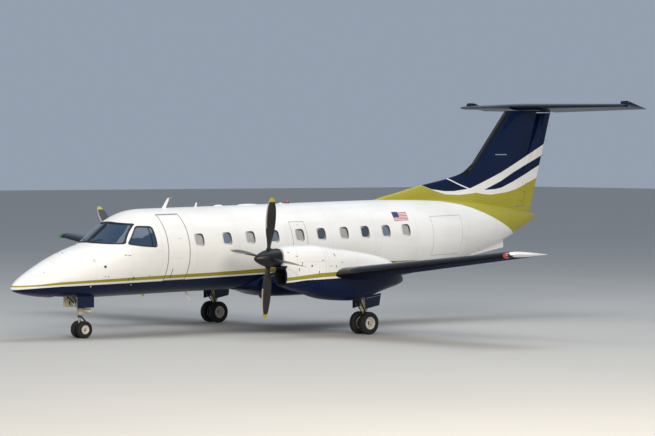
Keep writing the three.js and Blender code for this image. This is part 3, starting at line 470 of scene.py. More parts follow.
# %% [markdown]
# ## Smooth skins from drawn sections
# A skin could be modelled from a box and subdivided, but an aircraft is defined by sections at
# stations. A circle is made once, its points are moved onto the first section, and its edge is
# extruded to the next section again and again. The rows between two drawn ones follow a curve
# that never swings past them.

# %% Tables, sections and lofts
def smooth_row(table, where):
    """The row of a table at a place between its rows, on a curve that keeps within them."""
    places = [row[0] for row in table]
    k = max(0, min(len(table) - 2, sum(place <= where for place in places) - 1))
    width = places[k + 1] - places[k]
    t = min(1.0, max(0.0, (where - places[k]) / width))
    found = []
    for column in range(1, len(table[0])):
        rise = [(b[column] - a[column]) / (b[0] - a[0]) for a, b in zip(table, table[1:])]

        def slope(i):
            if i == 0:
                return rise[0]
            if i == len(rise):
                return rise[-1]
            before, after = rise[i - 1], rise[i]
            return 0.0 if before * after <= 0 else 2 * before * after / (before + after)

        a, b = table[k][column], table[k + 1][column]
        found.append((1 + 2 * t) * (1 - t) ** 2 * a + t * t * (3 - 2 * t) * b
                     + width * t * (1 - t) * ((1 - t) * slope(k) - t * slope(k + 1)))
    return found


def round_steps(around, power):
    """(across, up) points of a circle of radius 1. A power under 1 squares it up."""
    angles = [math.tau * j / around for j in range(around)]
    return [[math.copysign(abs(v) ** power, v) for v in (math.cos(a), math.sin(a))] for a in angles]


def oval(station, top, bottom, half, waist, around=96, power=1.0, y=0.0):
    """A section with its widest line at the waist."""
    return [spot(station, y + half * c, waist + abs(s) * ((top if s > 0 else bottom) - waist))
            for c, s in round_steps(around, power)]


def loft(rings):
    """A closed skin through rings of equally many points."""
    form = bmesh.new()
    start = bmesh.ops.create_circle(form, segments=len(rings[0]), radius=1)["verts"]
    for vert, point in zip(start, rings[0]):
        vert.co = point
    edges = list(form.edges)
    for before, ring in zip(rings, rings[1:]):
        place = {Vector(p).to_tuple(5): q for p, q in zip(before, ring)}
        grown = bmesh.ops.extrude_edge_only(form, edges=edges)["geom"]
        fresh = {g for g in grown if isinstance(g, bmesh.types.BMVert)}
        edges = list({e for v in fresh for e in v.link_edges if e.other_vert(v) in fresh})
        for vert in fresh:
            vert.co = place[vert.co.to_tuple(5)]
    bmesh.ops.holes_fill(form, edges=form.edges[:], sides=0)
    bmesh.ops.recalc_face_normals(form, faces=form.faces[:])
    return form


BODY = [
    (0.0, -0.765, -0.815, 0.025, -0.790), (0.06, -0.700, -0.868, 0.120, -0.795),
    (0.2, -0.590, -0.925, 0.250, -0.790), (0.45, -0.440, -0.985, 0.405, -0.760),
    (0.8, -0.258, -1.043, 0.560, -0.700), (1.25, -0.050, -1.090, 0.720, -0.600),
    (1.7, 0.120, -1.118, 0.850, -0.480), (2.1, 0.240, -1.132, 0.940, -0.370),
    (2.4, 0.320, -1.138, 1.000, -0.290), (2.65, 0.500, -1.140, 1.040, -0.220),
    (2.95, 0.720, -1.140, 1.080, -0.140), (3.25, 0.915, -1.140, 1.110, -0.080),
    (3.55, 1.050, -1.140, 1.128, -0.030), (3.85, 1.118, -1.140, 1.138, 0.0),
    (4.15, 1.140, -1.140, 1.140, 0.0), (12.4, 1.140, -1.140, 1.140, 0.0),
    (13.3, 1.138, -1.070, 1.112, 0.030), (14.2, 1.125, -0.935, 1.040, 0.085),
    (15.1, 1.085, -0.765, 0.935, 0.150), (16.0, 1.015, -0.570, 0.800, 0.220),
    (16.9, 0.905, -0.340, 0.630, 0.290), (17.8, 0.765, -0.025, 0.410, 0.380),
    (18.4, 0.650, 0.235, 0.225, 0.440), (18.73, 0.555, 0.405, 0.090, 0.480),
]


def tube(front, back, grow=0.0, around=96, step=0.12):
    """The body between two stations, its skin moved out by grow."""
    count = max(3, round((back - front) / step) + 1)
    rings = []
    for k in range(count):
        station = front + (back - front) * k / (count - 1)
        top, bottom, half, waist = smooth_row(BODY, station)
        rings.append(oval(station, top + grow, bottom - grow, half + grow, waist, around))
    return loft(rings)


def half_width(station, z):
    """How far off the centreline the skin is at a station and height."""
    top, bottom, half, waist = smooth_row(BODY, station)
    tall = top - waist if z > waist else waist - bottom
    return half * math.sqrt(max(0.0, 1 - ((z - waist) / tall) ** 2))


def hull(table, count, around, power, waist=None, y=0.0):
    """A skin of squared ovals at even steps of a table of station, top, bottom and half width."""
    first, last = table[0][0], table[-1][0]
    rings = []
    for k in range(count):
        station = first + k * (last - first) / (count - 1)
        top, bottom, half = smooth_row(table, station)
        middle = (top + bottom) / 2 if waist is None else waist
        rings.append(oval(station, top, bottom, half, middle, around, power, y))
    return loft(rings)


def duct_loft(rows, around, y):
    """A skin of squared ovals. A row is station, top, bottom, half width and waist."""
    return loft([oval(*row, around, 0.8, y) for row in rows])


print("the skin at station 6 is", round(half_width(6, 0.29), 3), "m out at window height")

# %% [markdown]
# ## Cutting and finishing a piece
# Doors, windows and bays are cut with Boolean modifiers, applied at once, so no cutter is left
# in the scene. A finished piece keeps its object at the origin with its place in its mesh, is
# shaded smooth up to a crease angle, and rides on one body of the CAD model.

# %% Cutters and pieces
def block(s0, s1, y0, y1, z0, z1):
    """A box between two stations."""
    form = bmesh.new()
    bmesh.ops.create_cube(form, size=1)
    bmesh.ops.scale(form, vec=(abs(s1 - s0), abs(y1 - y0), abs(z1 - z0)), verts=form.verts)
    bmesh.ops.translate(form, vec=(-(s0 + s1) / 2, (y0 + y1) / 2, (z0 + z1) / 2), verts=form.verts)
    return form


def bar(start, end, r0, r1=None, around=24):
    """A round bar between two points."""
    start, end = Vector(start), Vector(end)
    form = bmesh.new()
    bmesh.ops.create_cone(form, cap_ends=True, segments=around, radius1=r0,
                          radius2=r0 if r1 is None else r1,
                          depth=(end - start).length)
    turn = (end - start).to_track_quat("Z", "Y").to_matrix().to_4x4()
    bmesh.ops.transform(form, matrix=Matrix.Translation((start + end) / 2) @ turn, verts=form.verts)
    return form


def plate(outline, axis, low, high):
    """A flat outline pushed along an axis.

    Its points are (station, z) for the axis y, and (station, y) for the axis z.
    """
    form = bmesh.new()
    start = bmesh.ops.create_circle(form, cap_ends=True, segments=len(outline), radius=1)["verts"]
    for vert, (station, other) in zip(start, outline):
        vert.co = spot(station, low, other) if axis == "y" else spot(station, other, low)
    way = (0, high - low, 0) if axis == "y" else (0, 0, high - low)
    grown = bmesh.ops.extrude_face_region(form, geom=form.faces[:])["geom"]
    bmesh.ops.translate(form, vec=way,
                        verts=[g for g in grown if isinstance(g, bmesh.types.BMVert)])
    bmesh.ops.recalc_face_normals(form, faces=form.faces[:])
    return form


def mesh_of(name, form):
    """A mesh made from a form, which is freed."""
    mesh = bpy.data.meshes.new(name)
    form.to_mesh(mesh)
    form.free()
    return mesh


def carved(form, cutters, how="DIFFERENCE"):
    """A form with others cut from it, joined to it, or kept only where they meet it."""
    work, *tools = [linked("work", mesh_of("work", each)) for each in (form, *cutters)]
    for tool in tools:
        step = work.modifiers.new("step", "BOOLEAN")
        step.object = tool
        step.operation = how
        step.solver = "EXACT"
    made = bmesh.new()
    made.from_object(work, bpy.context.evaluated_depsgraph_get())
    for item in (work, *tools):
        bpy.data.meshes.remove(item.data)
    bmesh.ops.remove_doubles(made, verts=made.verts[:], dist=1e-5)
    return made


def joined(*forms):
    """Several forms in one mesh, each still closed."""
    whole = bmesh.new()
    for form in forms:
        mesh = mesh_of("part", form)
        whole.from_mesh(mesh)
        bpy.data.meshes.remove(mesh)
    return whole


def rods(points, radius, around):
    """Round bars from each point of a line to the next."""
    return [bar(*ends, radius, around=around) for ends in zip(points, points[1:])]


def eased(form, offset, edges=None):
    """A form with all its edges, or some of them, rounded off."""
    bmesh.ops.bevel(form, geom=edges or form.edges[:], offset=offset, segments=2, profile=0.5,
                    affect="EDGES", material=-1)
    return form


def corners(form):
    """The edges of a form where its faces turn by more than 0.7 radians."""
    return [edge for edge in form.edges if edge.calc_face_angle(0) > 0.7]


def flipped(form):
    """The mirror image on the other side of the aircraft."""
    bmesh.ops.scale(form, vec=(1, -1, 1), verts=form.verts)
    bmesh.ops.reverse_faces(form, faces=form.faces[:])
    return form


BODY_OF = {node: body for body, nodes in record["behaviour"]["bodies"].items() for node in nodes}


def piece(name, form, finish, body="airframe", replaces=(), crease=32, leaning=True):
    """A finished piece from a mesh form drawn in the airframe's own frame."""
    if leaning:
        bmesh.ops.transform(form, matrix=LEAN, verts=form.verts)
    mesh = mesh_of(name, form)
    mesh.shade_smooth()
    mesh.set_sharp_from_angle(angle=math.radians(crease))
    mesh.materials.append(finish.material)
    made = linked(name, mesh)
    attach(made, body)
    if replaces:
        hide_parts(*replaces)
    print(f"{name}: {len(mesh.polygons)} faces on {body}")
    return made


def polished(node, finish, crease=32):
    """A smooth-shaded copy of a CAD node. Its loose triangles are merged first."""
    form = bmesh.new()
    form.from_mesh(frame["nodes"][node].data)
    bmesh.ops.remove_doubles(form, verts=form.verts[:], dist=1e-5)
    return piece(node + "_skin", form, finish, BODY_OF[node], (node,), crease,
                 leaning=False)


# %% [markdown]
# ## Window places
# The ten windows a side are not evenly spaced: one is in the exit hatch over the wing. The first
# lies over a frame of the hull, so it has only a shallow pocket, where the others are holes.

# %% Window places
WINDOW_STATIONS = [5.29, 6.23, 7.03, 7.87, 8.76, 9.53, 10.36, 11.13, 11.91, 12.67]
WINDOW = {"z": 0.29, "wide": 0.162, "tall": 0.175, "power": 0.5}
POCKET_DEPTH = 0.038
OUTSIDE = 1.4    # well clear of the tube


def porthole_outline(station, around=40, grow=0.0):
    """The rounded outline of one window, as (station, z) points."""
    return [(station + (WINDOW["wide"] + grow) * c, WINDOW["z"] + (WINDOW["tall"] + grow) * s)
            for c, s in round_steps(around, WINDOW["power"])]


def pockets(station):
    """Cutters for one window on both sides, as deep as a frame."""
    floor = half_width(station, WINDOW["z"] + WINDOW["tall"]) - POCKET_DEPTH
    return [plate(porthole_outline(station), "y", *sorted((side * floor, side * OUTSIDE)))
            for _, side in SIDES]


print(len(WINDOW_STATIONS), "windows a side")

# %% [markdown]
# ## The nose, with its windscreen openings
# The radome is a plain cap. Behind it, the cockpit section is a thick shell: the tube with the
# cockpit, the entrance and the nose wheel's bay cut out of it, then the panes and the door.

# %% Nose and cockpit section
SIDE_PANE = [(3.43, 0.705), (3.845, 0.685), (3.86, 0.175), (3.43, 0.215), (3.05, 0.275)]
COCKPIT_FLOOR, CABIN_FLOOR = -0.42, -0.76
FRONT_PANE = [(0.075, 0.345), (0.075, 0.80), (0.68, 0.765), (0.93, 0.29)]
PLAY, SEAM = 0.007, 0.0004


def room(front, back, floor, wall=0.06):
    """The space inside the tube over a floor."""
    form = tube(front, back, -wall, 64, 0.2)
    cut = bmesh.ops.bisect_plane(form, geom=form.verts[:] + form.edges[:] + form.faces[:],
                                 dist=1e-6,
                                 plane_co=(0, 0, floor), plane_no=(0, 0, 1), clear_inner=True)
    rim = [g for g in cut["geom_cut"] if isinstance(g, bmesh.types.BMEdge)]
    bmesh.ops.holes_fill(form, edges=rim, sides=0)
    bmesh.ops.recalc_face_normals(form, faces=form.faces[:])
    return form


def opening(frame_of, play=0.0, below=None):
    """A block that cuts a doorway through the port skin, wider all round by its play."""
    return block(frame_of["front"] - play, frame_of["back"] + play, frame_of["inner"], 1.3,
                 frame_of["sill"] - (play if below is None else below), frame_of["top"] + play)


def rounded(outline, radius, steps=4):
    """An outline with its corners rounded off."""
    points = []
    for k, corner in enumerate(outline):
        here = Vector(corner)
        before = (Vector(outline[k - 1]) - here).normalized() * radius
        after = (Vector(outline[(k + 1) % len(outline)]) - here).normalized() * radius
        for j in range(steps + 1):
            t = j / steps
            points.append(tuple(here + before * (1 - t) ** 2 + after * t ** 2))
    return points


def wider(outline, by):
    """An outline with every edge moved out by the same distance."""
    turn = sum(a[0] * b[1] - a[1] * b[0] for a, b in zip(outline, outline[1:] + outline[:1]))
    out = math.copysign(by, turn)
    points = []
    for k, corner in enumerate(outline):
        here, before = Vector(corner), Vector(outline[k - 1])
        after = Vector(outline[(k + 1) % len(outline)])
        a, b = (here - before).normalized(), (after - here).normalized()
        shift = (Vector((a.y, -a.x)) + Vector((b.y, -b.x))) * (out / (1 + a.dot(b)))
        points.append(tuple(here + shift))
    return points


def side_cutter(side, grow=0.0):
    """The side window's outline pushed out through the skin."""
    return plate(rounded(wider(SIDE_PANE, grow), 0.06 + grow), "y",
                 *sorted((side * 0.5, side * 1.3)))


def front_cutter(side, outline=None):
    """A windscreen outline, seen from ahead, pushed back through the skin."""
    form = plate(outline or rounded(FRONT_PANE, 0.05), "y", 2.1, 3.55)
    for vert in form.verts:
        vert.co = spot(vert.co.y, -side * vert.co.x, vert.co.z)
    bmesh.ops.recalc_face_normals(form, faces=form.faces[:])
    return form


piece("nose_cone", tube(0, 0.56, step=0.02), body_paint, replaces=("radome",))

nose_bay = block(1.15, 2.42, -0.29, 0.29, -1.3, -0.64)
cutters = [room(2.15, 4.0, COCKPIT_FLOOR), room(4.09, 5.12, CABIN_FLOOR), opening(DOOR, PLAY),
           nose_bay]
cutters += pockets(WINDOW_STATIONS[0])
for word, side in SIDES:
    cutters += [side_cutter(side), front_cutter(side)]
piece("cockpit_section", carved(tube(0.56 + SEAM, 5.2, step=0.08), cutters), body_paint,
      replaces=("fuselage_front",))

# %% [markdown]
# ## Glass
# Each pane is the skin's own surface moved inward a little, cut by the same outline as its
# opening, so it always fits. Real transparencies are dark from outside in daylight: the pane is
# a smooth coated surface, tinted and partly clear.

# %% Windscreen and side windows
glass = Finish("tinted_glass", Transmission_Weight=0.4, IOR=1.45, Coat_Weight=1.0,
               Coat_Roughness=0.02)
sheen_cloud = glass.noise(1.5, 2.0)
glass.colour(glass.blend(sheen_cloud, rgb("22384d"), rgb("3c5f80")))
glass.rough(sheen_cloud * 0.05 + 0.03)

GLASS_OUTER, GLASS_INNER = -0.012, -0.03
for word, side in SIDES:
    shell = carved(tube(2.9, 4.0, GLASS_OUTER, step=0.06),
                   [tube(2.85, 4.05, GLASS_INNER, step=0.06)])
    pane = carved(shell, [side_cutter(side)], "INTERSECT")
    piece(f"side_pane_{word}", pane, glass, replaces=(f"cockpit_window_{word}",))
    shell = carved(tube(2.16, 3.48, GLASS_OUTER, step=0.05),
                   [tube(2.1, 3.55, GLASS_INNER, step=0.05)])
    pane = carved(shell, [front_cutter(side)], "INTERSECT")
    piece(f"front_pane_{word}", pane, glass, replaces=(f"windscreen_{word}",))

# %% [markdown]
# ## The cabin and its windows
# Each cabin window is a rounded hole through the skin with a dished frame and a pane set back in
# it, which is why the photograph shows a shadow along one edge. All the holes are cut by prisms
# that pass through both sides of the tube. That shadow is painted shade on the frame: a value
# stored at each point darkens its aft and upper sides, and its material reads it.

# %% Cabin with portholes
cabin_stations = [s for s in WINDOW_STATIONS if s > 5.5]
holes = [plate(porthole_outline(s), "y", -OUTSIDE, OUTSIDE) for s in cabin_stations]
cabin = carved(tube(5.2 + SEAM, 13.1, step=0.2),
               [room(5.28, 13.02, CABIN_FLOOR), joined(*holes), *pockets(WINDOW_STATIONS[0])])
piece("cabin_tube", cabin, body_paint, replaces=("fuselage_centre",))

# %% Window frames and panes
pane_tone = Finish("cabin_pane", Coat_Weight=1.0, Coat_Roughness=0.03)
TONES = [(0.0, "b9b4ae"), (0.095, "6f7c8f"), (0.20, "bdb8b2"), (0.31, "66758a"), (0.415, "b7b3ad"),
         (0.515, "3c4652"), (0.625, "b3afa9"), (0.72, "333c47"), (0.82, "707d8e"), (0.93, "bab5ae")]
stations_along = (pane_tone.station - 4.9) / 8.2
shade = pane_tone.node("ValToRGB", {0: stations_along},
                       stops=[(p, rgb(c)) for p, c in TONES] + [(1.0, rgb("bab5ae"))])
shade.color_ramp.interpolation = "CONSTANT"
streaks = pane_tone.noise(6.0, 2.0, (1, 1, 0.3))
pane_tone.colour(pane_tone.blend(streaks * 0.35, shade.outputs[0], rgb("59636f")))
pane_tone.rough(streaks * 0.06 + 0.04)

trim = Finish("window_trim", Coat_Weight=0.2)
# The frame's colour is painted shade: dark where the stored value is high, on the aft and upper
# sides, with a little random tone.
shadow = Number(trim, trim.node("Attribute", attribute_name="shade").outputs["Fac"])
ring_shade_and_tone = (shadow + (trim.noise(9.0) - 0.5) * 0.3).clamped()
trim.colour(trim.blend(ring_shade_and_tone, rgb("e0dcd7"), rgb("36322f")))
trim.rough(trim.noise(20.0) * 0.1 + 0.35)
RING = [(0.004, 0.001), (-0.020, 0.008), (-0.044, 0.014), (-0.044, 0.030), (0.002, 0.036)]
SHADE, SHADE_AFT, SHADE_HIGH = 0.40, 0.70, 0.45
PANE = [(-0.012, 0.028), (-0.012, 0.021), (-0.06, 0.019), (-0.11, 0.019)]


def dished(station, side, levels):
    """A loft through copies of a window's outline, each moved in by (grow, depth) from the skin."""
    rings = []
    for grow, depth in levels:
        outline = porthole_outline(station, grow=grow)
        rings.append([spot(s, side * (half_width(s, z) - depth), z) for s, z in outline])
    form = loft(rings)
    # Painted shade: each point stores how dark the frame is, rising towards the window's aft and
    # upper sides.
    shade = form.verts.layers.float.new("shade")
    for vert in form.verts:
        aft = (-vert.co.x - station) / WINDOW["wide"]
        high = (vert.co.z - WINDOW["z"]) / WINDOW["tall"]
        vert[shade] = min(1.0, max(0.0, SHADE + SHADE_AFT * aft + SHADE_HIGH * high))
    return form


def open_middle(form):
    """Leaves a loft open where its end caps were, as a window frame is."""
    ends = [face for face in form.faces if len(face.verts) > 4]
    bmesh.ops.delete(form, geom=ends, context="FACES_ONLY")
    return form


windows = [(station, side) for station in WINDOW_STATIONS for side in (1, -1)]
frames = [open_middle(dished(*window, RING)) for window in windows]
piece("window_frames", joined(*frames), trim)
piece("window_panes", joined(*(dished(*window, PANE) for window in windows)), pane_tone)

# %% [markdown]
# ## The passenger door
# The door hinges at its sill and swings down with the steps on its inner face. Its skin is the
# tube's own, cut between the same planes as the doorway, less the seam's width. Treads and side
# rails are added where the real one has them.

# %% Passenger door
satin_trim = Finish("cabin_trim", Specular_IOR_Level=0.4)
grain = satin_trim.noise(60.0, 4.0)
satin_trim.colour(satin_trim.blend(grain, rgb("3a3c42"), rgb("4a4c52")))
satin_trim.rough(grain * 0.2 + 0.55).bump(grain, 0.0008)

dark_steel = Finish("dark_steel", Metallic=0.85)
scuff = dark_steel.noise(14.0, 5.0)
dark_steel.colour(dark_steel.blend(scuff, rgb("2a2b2e"), rgb("4b4b4c")))
dark_steel.rough(scuff * 0.25 + 0.3)

TUBE_RADIUS, DOOR_THICK = 1.14, 0.075
door_shell = carved(tube(4.15, 5.05, step=0.05), [tube(4.1, 5.1, -DOOR_THICK, step=0.1)])
door_shell = carved(door_shell, [opening(DOOR)], "INTERSECT")
piece("door_skin", door_shell, body_paint, "passenger_door", ("passenger_door",))

treads = []
for k in range(4):
    z = -0.49 + k * 0.352
    edge = math.sqrt(TUBE_RADIUS ** 2 - z ** 2) - DOOR_THICK
    tread = block(DOOR["front"] + 0.07, DOOR["back"] - 0.07, edge - 0.24, edge + 0.01,
                  z - 0.012, z + 0.012)
    treads.append(eased(tread, 0.008))
for station in (DOOR["front"] + 0.05, DOOR["back"] - 0.05):
    rail = [spot(station, math.sqrt(TUBE_RADIUS ** 2 - z * z) - 0.30, z)
            for z in (-0.5, -0.1, 0.3, 0.56)]
    treads += rods(rail, 0.012, 12)
    treads += [bar(point, point + Vector((0, 0.22, 0)), 0.010, around=12) for point in rail]
piece("door_steps", joined(*treads), satin_trim, "passenger_door")

# %% [markdown]
# ## The rear fuselage
# Behind the cabin the tube rises and narrows to the tail cone. The baggage hold opens to port
# through a door hinged at its top. Two small strakes stand out below the tail.

# %% Rear fuselage, strakes and cargo door
rear = carved(tube(13.1 + SEAM, 18.73, step=0.12), [room(13.18, 15.15, -0.8), opening(CARGO, PLAY)])
piece("rear_fuselage", rear, body_paint, replaces=("fuselage_rear",))

for word, side in SIDES:
    strake = plate([(15.5, -0.60), (15.5, -0.648), (17.32, -0.40), (17.40, -0.10)], "y", -0.008,
                   0.008)
    for vert in strake.verts:
        vert.co.y = side * (vert.co.y + 0.10 - 0.33 * (vert.co.z + 0.10))
    bmesh.ops.recalc_face_normals(strake, faces=strake.faces[:])
    piece(f"strake_{word}", eased(strake, 0.006), white_paint)

cargo = carved(tube(13.6, 15.1, step=0.06), [tube(13.5, 15.2, -0.065, step=0.1)])
cargo = carved(cargo, [opening(dict(CARGO, back=CARGO["back"] - 0.008))], "INTERSECT")
piece("cargo_door_skin", cargo, body_paint, "cargo_door", ("cargo_door",))

# %% [markdown]
# ## Wings
# A wing is one family of sections: a cambered form that thins and shortens to the tip. The
# section is drawn with many points bunched at the leading edge, because its curve is tightest
# there. The flaps and ailerons keep their CAD shapes, so the coves behind the spar are cut to fit.

# %% Aerofoil sections
TRAIL_HALF = 0.0015    # half the blunt trailing edge, as a share of the chord


def thickness_at(x, thick):
    """Half the thickness of an aerofoil, as a share of its chord."""
    return 5 * thick * (0.2969 * math.sqrt(x) - 0.126 * x - 0.3516 * x ** 2 + 0.2843 * x ** 3
                        - 0.1015 * x ** 4)


def camber_at(x, m=0.2025, k=15.957):
    """The rise of its middle line. The two constants are the line's published ones."""
    if x < m:
        return k / 6 * (x ** 3 - 3 * m * x ** 2 + m ** 2 * (3 - m) * x)
    return k / 6 * m ** 3 * (1 - x)


def section(thick, cambered=True, steps=22):
    """Points round an aerofoil of unit chord: over the top to the nose and back underneath."""
    places = [(1 - math.cos(math.pi * i / steps)) / 2 for i in range(steps, -1, -1)]
    points = []
    for face, along in ((1, places), (-1, places[-2::-1])):
        for x in along:
            middle = camber_at(x) if cambered else 0
            points.append((x, middle + face * (thickness_at(x, thick) + TRAIL_HALF * x)))
    return points


def chord_at(y):
    """The wing's chord at a distance from the centreline."""
    return CHORD_ROOT + (CHORD_TIP - CHORD_ROOT) * y / HALF_SPAN


def wing_thick(y):
    """Its thickness there, as a share of that chord."""
    return 0.18 - 0.06 * y / HALF_SPAN


def wing_spot(y, x, up):
    """A point of the wing: x and up are shares of the chord at y."""
    u, v = x * chord_at(y), up * chord_at(y)
    lead = STRAIGHT - STRAIGHT_SHARE * chord_at(y)
    return spot(lead + u * math.cos(INCIDENCE) + v * math.sin(INCIDENCE), y,
                WING_FOOT + WING_RISE * y - u * math.sin(INCIDENCE) + v * math.cos(INCIDENCE))


def wing_ring(y, kept=1.0, thinned=1.0):
    """A section of the wing, drawn in towards its shrink line and thinned near the tip."""
    return [wing_spot(y, SHRINK_LINE + (x - SHRINK_LINE) * kept, v * kept)
            for x, v in section(wing_thick(y) * thinned)]


TIP_LONG, SHRINK_LINE = 0.33, 0.62
TIP = [(0.0, 1, 1), (0.3, 0.992, 0.95), (0.55, 0.975, 0.84), (0.75, 0.945, 0.68), (0.9, 0.90, 0.48),
       (1, 0.84, 0.2)]
WING_ROOT, TIP_START = 0.33, HALF_SPAN - TIP_LONG
wing_rings = [wing_ring(WING_ROOT + k * (TIP_START - WING_ROOT) / 14) for k in range(14)]
wing_rings += [wing_ring(TIP_START + TIP_LONG * share, kept, thinned)
               for share, kept, thinned in TIP]
print("wing rings:", len(wing_rings), "of", len(wing_rings[0]), "points")

# %% Wings with their coves
SURFACES = {"flap_inner": (1.29, 2.83, 0.70), "flap_outer": (3.79, 6.18, 0.70),
            "aileron": (6.24, 9.48, 0.74)}
COVE_LONG, COVE_TALL, COVE_ROOM = 1.5, 0.9, 0.015


def cove(y0, y1, share):
    """The space behind the spar that a hinged surface needs: a square slab and a round hollow."""
    def on_hinge(y):
        return wing_spot(y, share, camber_at(share))

    foot, head = on_hinge(y0), on_hinge(y1)
    slope = math.atan2(head.z - foot.z, head.y - foot.y)
    level = Matrix.Translation((0, 0, foot.z - foot.y * math.tan(slope)))
    near_y, far_y = y0 / math.cos(slope), y1 / math.cos(slope)
    slab = plate([(-foot.x, near_y), (-head.x, far_y), (-head.x + COVE_LONG, far_y),
                  (-foot.x + COVE_LONG, near_y)],
                 "z", -COVE_TALL, COVE_TALL)
    bmesh.ops.transform(slab, matrix=level @ Matrix.Rotation(slope, 4, "X"), verts=slab.verts)
    radii = [chord_at(y) * thickness_at(share, wing_thick(y)) * 0.97 + COVE_ROOM for y in (y0, y1)]
    return slab, bar(foot, head, *radii, around=32)


for word, side in SIDES:
    wing = loft(wing_rings)
    wing = carved(wing, [form for spec in SURFACES.values() for form in cove(*spec)])
    if side < 0:
        wing = flipped(wing)
    piece(f"wing_skin_{word}", wing, wing_paint, replaces=(f"wing_{word}",))
    for name in SURFACES:
        polished(f"{name}_{word}", wing_paint)

# %% [markdown]
# ## The belly fairing
# A long smooth blister covers the wing's centre section. It is one loft that sinks into the
# tube and the wing roots, so nothing has to be cut.

# %% Belly fairing
FAIRING = [(7.15, -0.90, -1.15, 0.35), (7.65, -0.70, -1.235, 0.80), (8.3, -0.56, -1.395, 1.08),
           (9.2, -0.54, -1.41, 1.13), (10.0, -0.56, -1.385, 1.12), (10.9, -0.68, -1.29, 0.98),
           (11.7, -0.90, -1.16, 0.48)]
piece("belly_blister", hull(FAIRING, 38, 80, 0.62, waist=-0.86), navy_paint,
      replaces=("belly_fairing",))

# %% [markdown]
# ## Nacelles
# Each engine sits in a long cowl on the wing. Its sections are squared ovals. The chin intake
# is a second loft joined under the nose, then hollowed by a third, and the wheel bay, the shaft
# opening and the exhaust are cut out last.

# %% Nacelles
NACELLE = [(6.205, 0.092, -0.42, 0.262), (6.45, 0.135, -0.64, 0.345), (6.8, 0.152, -0.985, 0.41),
           (7.2, 0.15, -1.195, 0.445), (7.65, 0.096, -1.315, 0.46), (8.05, 0.022, -1.365, 0.46),
           (8.6, -0.05, -1.4, 0.46), (9.1, -0.135, -1.35, 0.45), (9.6, -0.245, -1.215, 0.42),
           (9.95, -0.365, -1.13, 0.37), (10.2, -0.56, -1.075, 0.30), (10.42, -0.8, -1.01, 0.18)]
SCOOP = [(6.27, -0.395, -0.88, 0.235, -0.64), (6.285, -0.38, -0.905, 0.255, -0.64),
         (6.31, -0.372, -0.917, 0.264, -0.64), (6.5, -0.374, -0.985, 0.298, -0.65),
         (6.7, -0.375, -1.05, 0.33, -0.66), (7.25, -0.40, -1.18, 0.38, -0.70)]
MOUTH = [(6.2, -0.42, -0.855, 0.21, -0.64), (6.27, -0.42, -0.855, 0.21, -0.64),
         (6.34, -0.435, -0.86, 0.198, -0.65), (6.85, -0.50, -0.90, 0.19, -0.69)]
THRUST, COWL_SQUARE = -0.153, 0.72
SHAFT_HOLE, PIPE_HOLE, BAY_HALF = 0.119, 0.107, 0.235


def nacelle_form():
    """The port cowl, with its scoop joined on and its openings cut."""
    whole = carved(hull(NACELLE, 52, 72, COWL_SQUARE, y=TRACK), [duct_loft(SCOOP, 72, TRACK)],
                   "UNION")
    mouth = duct_loft(MOUTH, 64, TRACK)
    shaft = bar(spot(6.5, TRACK, THRUST), spot(6.1, TRACK, THRUST), SHAFT_HOLE, around=40)
    bay = block(8.8, 9.56, TRACK - BAY_HALF, TRACK + BAY_HALF, -1.6, -0.99)
    pipe = bar(spot(9.9, TRACK, -0.52), spot(10.5, TRACK, -0.52), PIPE_HOLE, around=32)
    return carved(whole, [mouth, shaft, bay, pipe])


for word, side in SIDES:
    cowl = nacelle_form()
    if side < 0:
        cowl = flipped(cowl)
    piece(f"cowl_{word}", cowl, nacelle_paint, replaces=(f"nacelle_{word}",),
          crease=38)

# %% [markdown]
# ## Fin and dorsal fairing
# The fin grows out of a long low dorsal fairing. Both are one loft of level sections: the
# leading edge of each level comes from the photographed outline, so the low levels are long
# and thin in front, and the fin's own thickness starts further back.

# %% Fin
DORSAL = [(0.86, 12.35), (1.10, 12.38), (1.345, 13.4), (1.505, 14.2), (1.685, 15.27), (1.83, 15.85),
          (2.10, 16.27)]
DORSAL_FOOT, DORSAL_TOP, FIN_TOP, FIN_THICK = 0.86, 2.10, 3.64, 0.115
DORSAL_HALF, DORSAL_FULL = 0.055, 0.9    # half its thickness, and how far back that is reached
SPREAD_TOP, SPREAD = 1.45, 0.10    # below this height it spreads out to the tube


def on_line(line, z):
    """The station of a straight line at a height."""
    (s0, z0), (s1, z1) = line
    return s0 + (s1 - s0) * (z - z0) / (z1 - z0)


FIN_EDGE = ((16.27, 2.085), (17.69, 3.70))
FIN_TRAIL = ((18.57, 0.56), (19.56, 3.70))
RUDDER_LINE = ((17.85, 0.60), (18.935, 3.70))


def fin_ring(z):
    """A level section: the fin's own aerofoil, drawn out forward into the dorsal fairing."""
    trail = on_line(FIN_TRAIL, z)
    own = on_line(FIN_EDGE, z)
    lead = smooth_row(DORSAL, z)[0] if z < DORSAL_TOP else own
    size = trail - own
    points = []
    for x, v in section(FIN_THICK, False, 24):
        station = lead + x * (trail - lead)
        across = (station - own) / size
        half = thickness_at(across, FIN_THICK) * size if across > 0 else 0.0
        flank = DORSAL_HALF * min(1.0, math.sqrt(max(0.0, station - lead) / DORSAL_FULL))
        flank += max(0.0, SPREAD_TOP - z) * SPREAD
        if station < own + 0.5 * size and lead < own:
            half = max(half, flank * min(1.0, (station - lead) / 0.15 + 0.12))
        y = math.copysign(half + TRAIL_HALF, v) if 0 < x else 0.0
        points.append(spot(station, y, z))
    return points


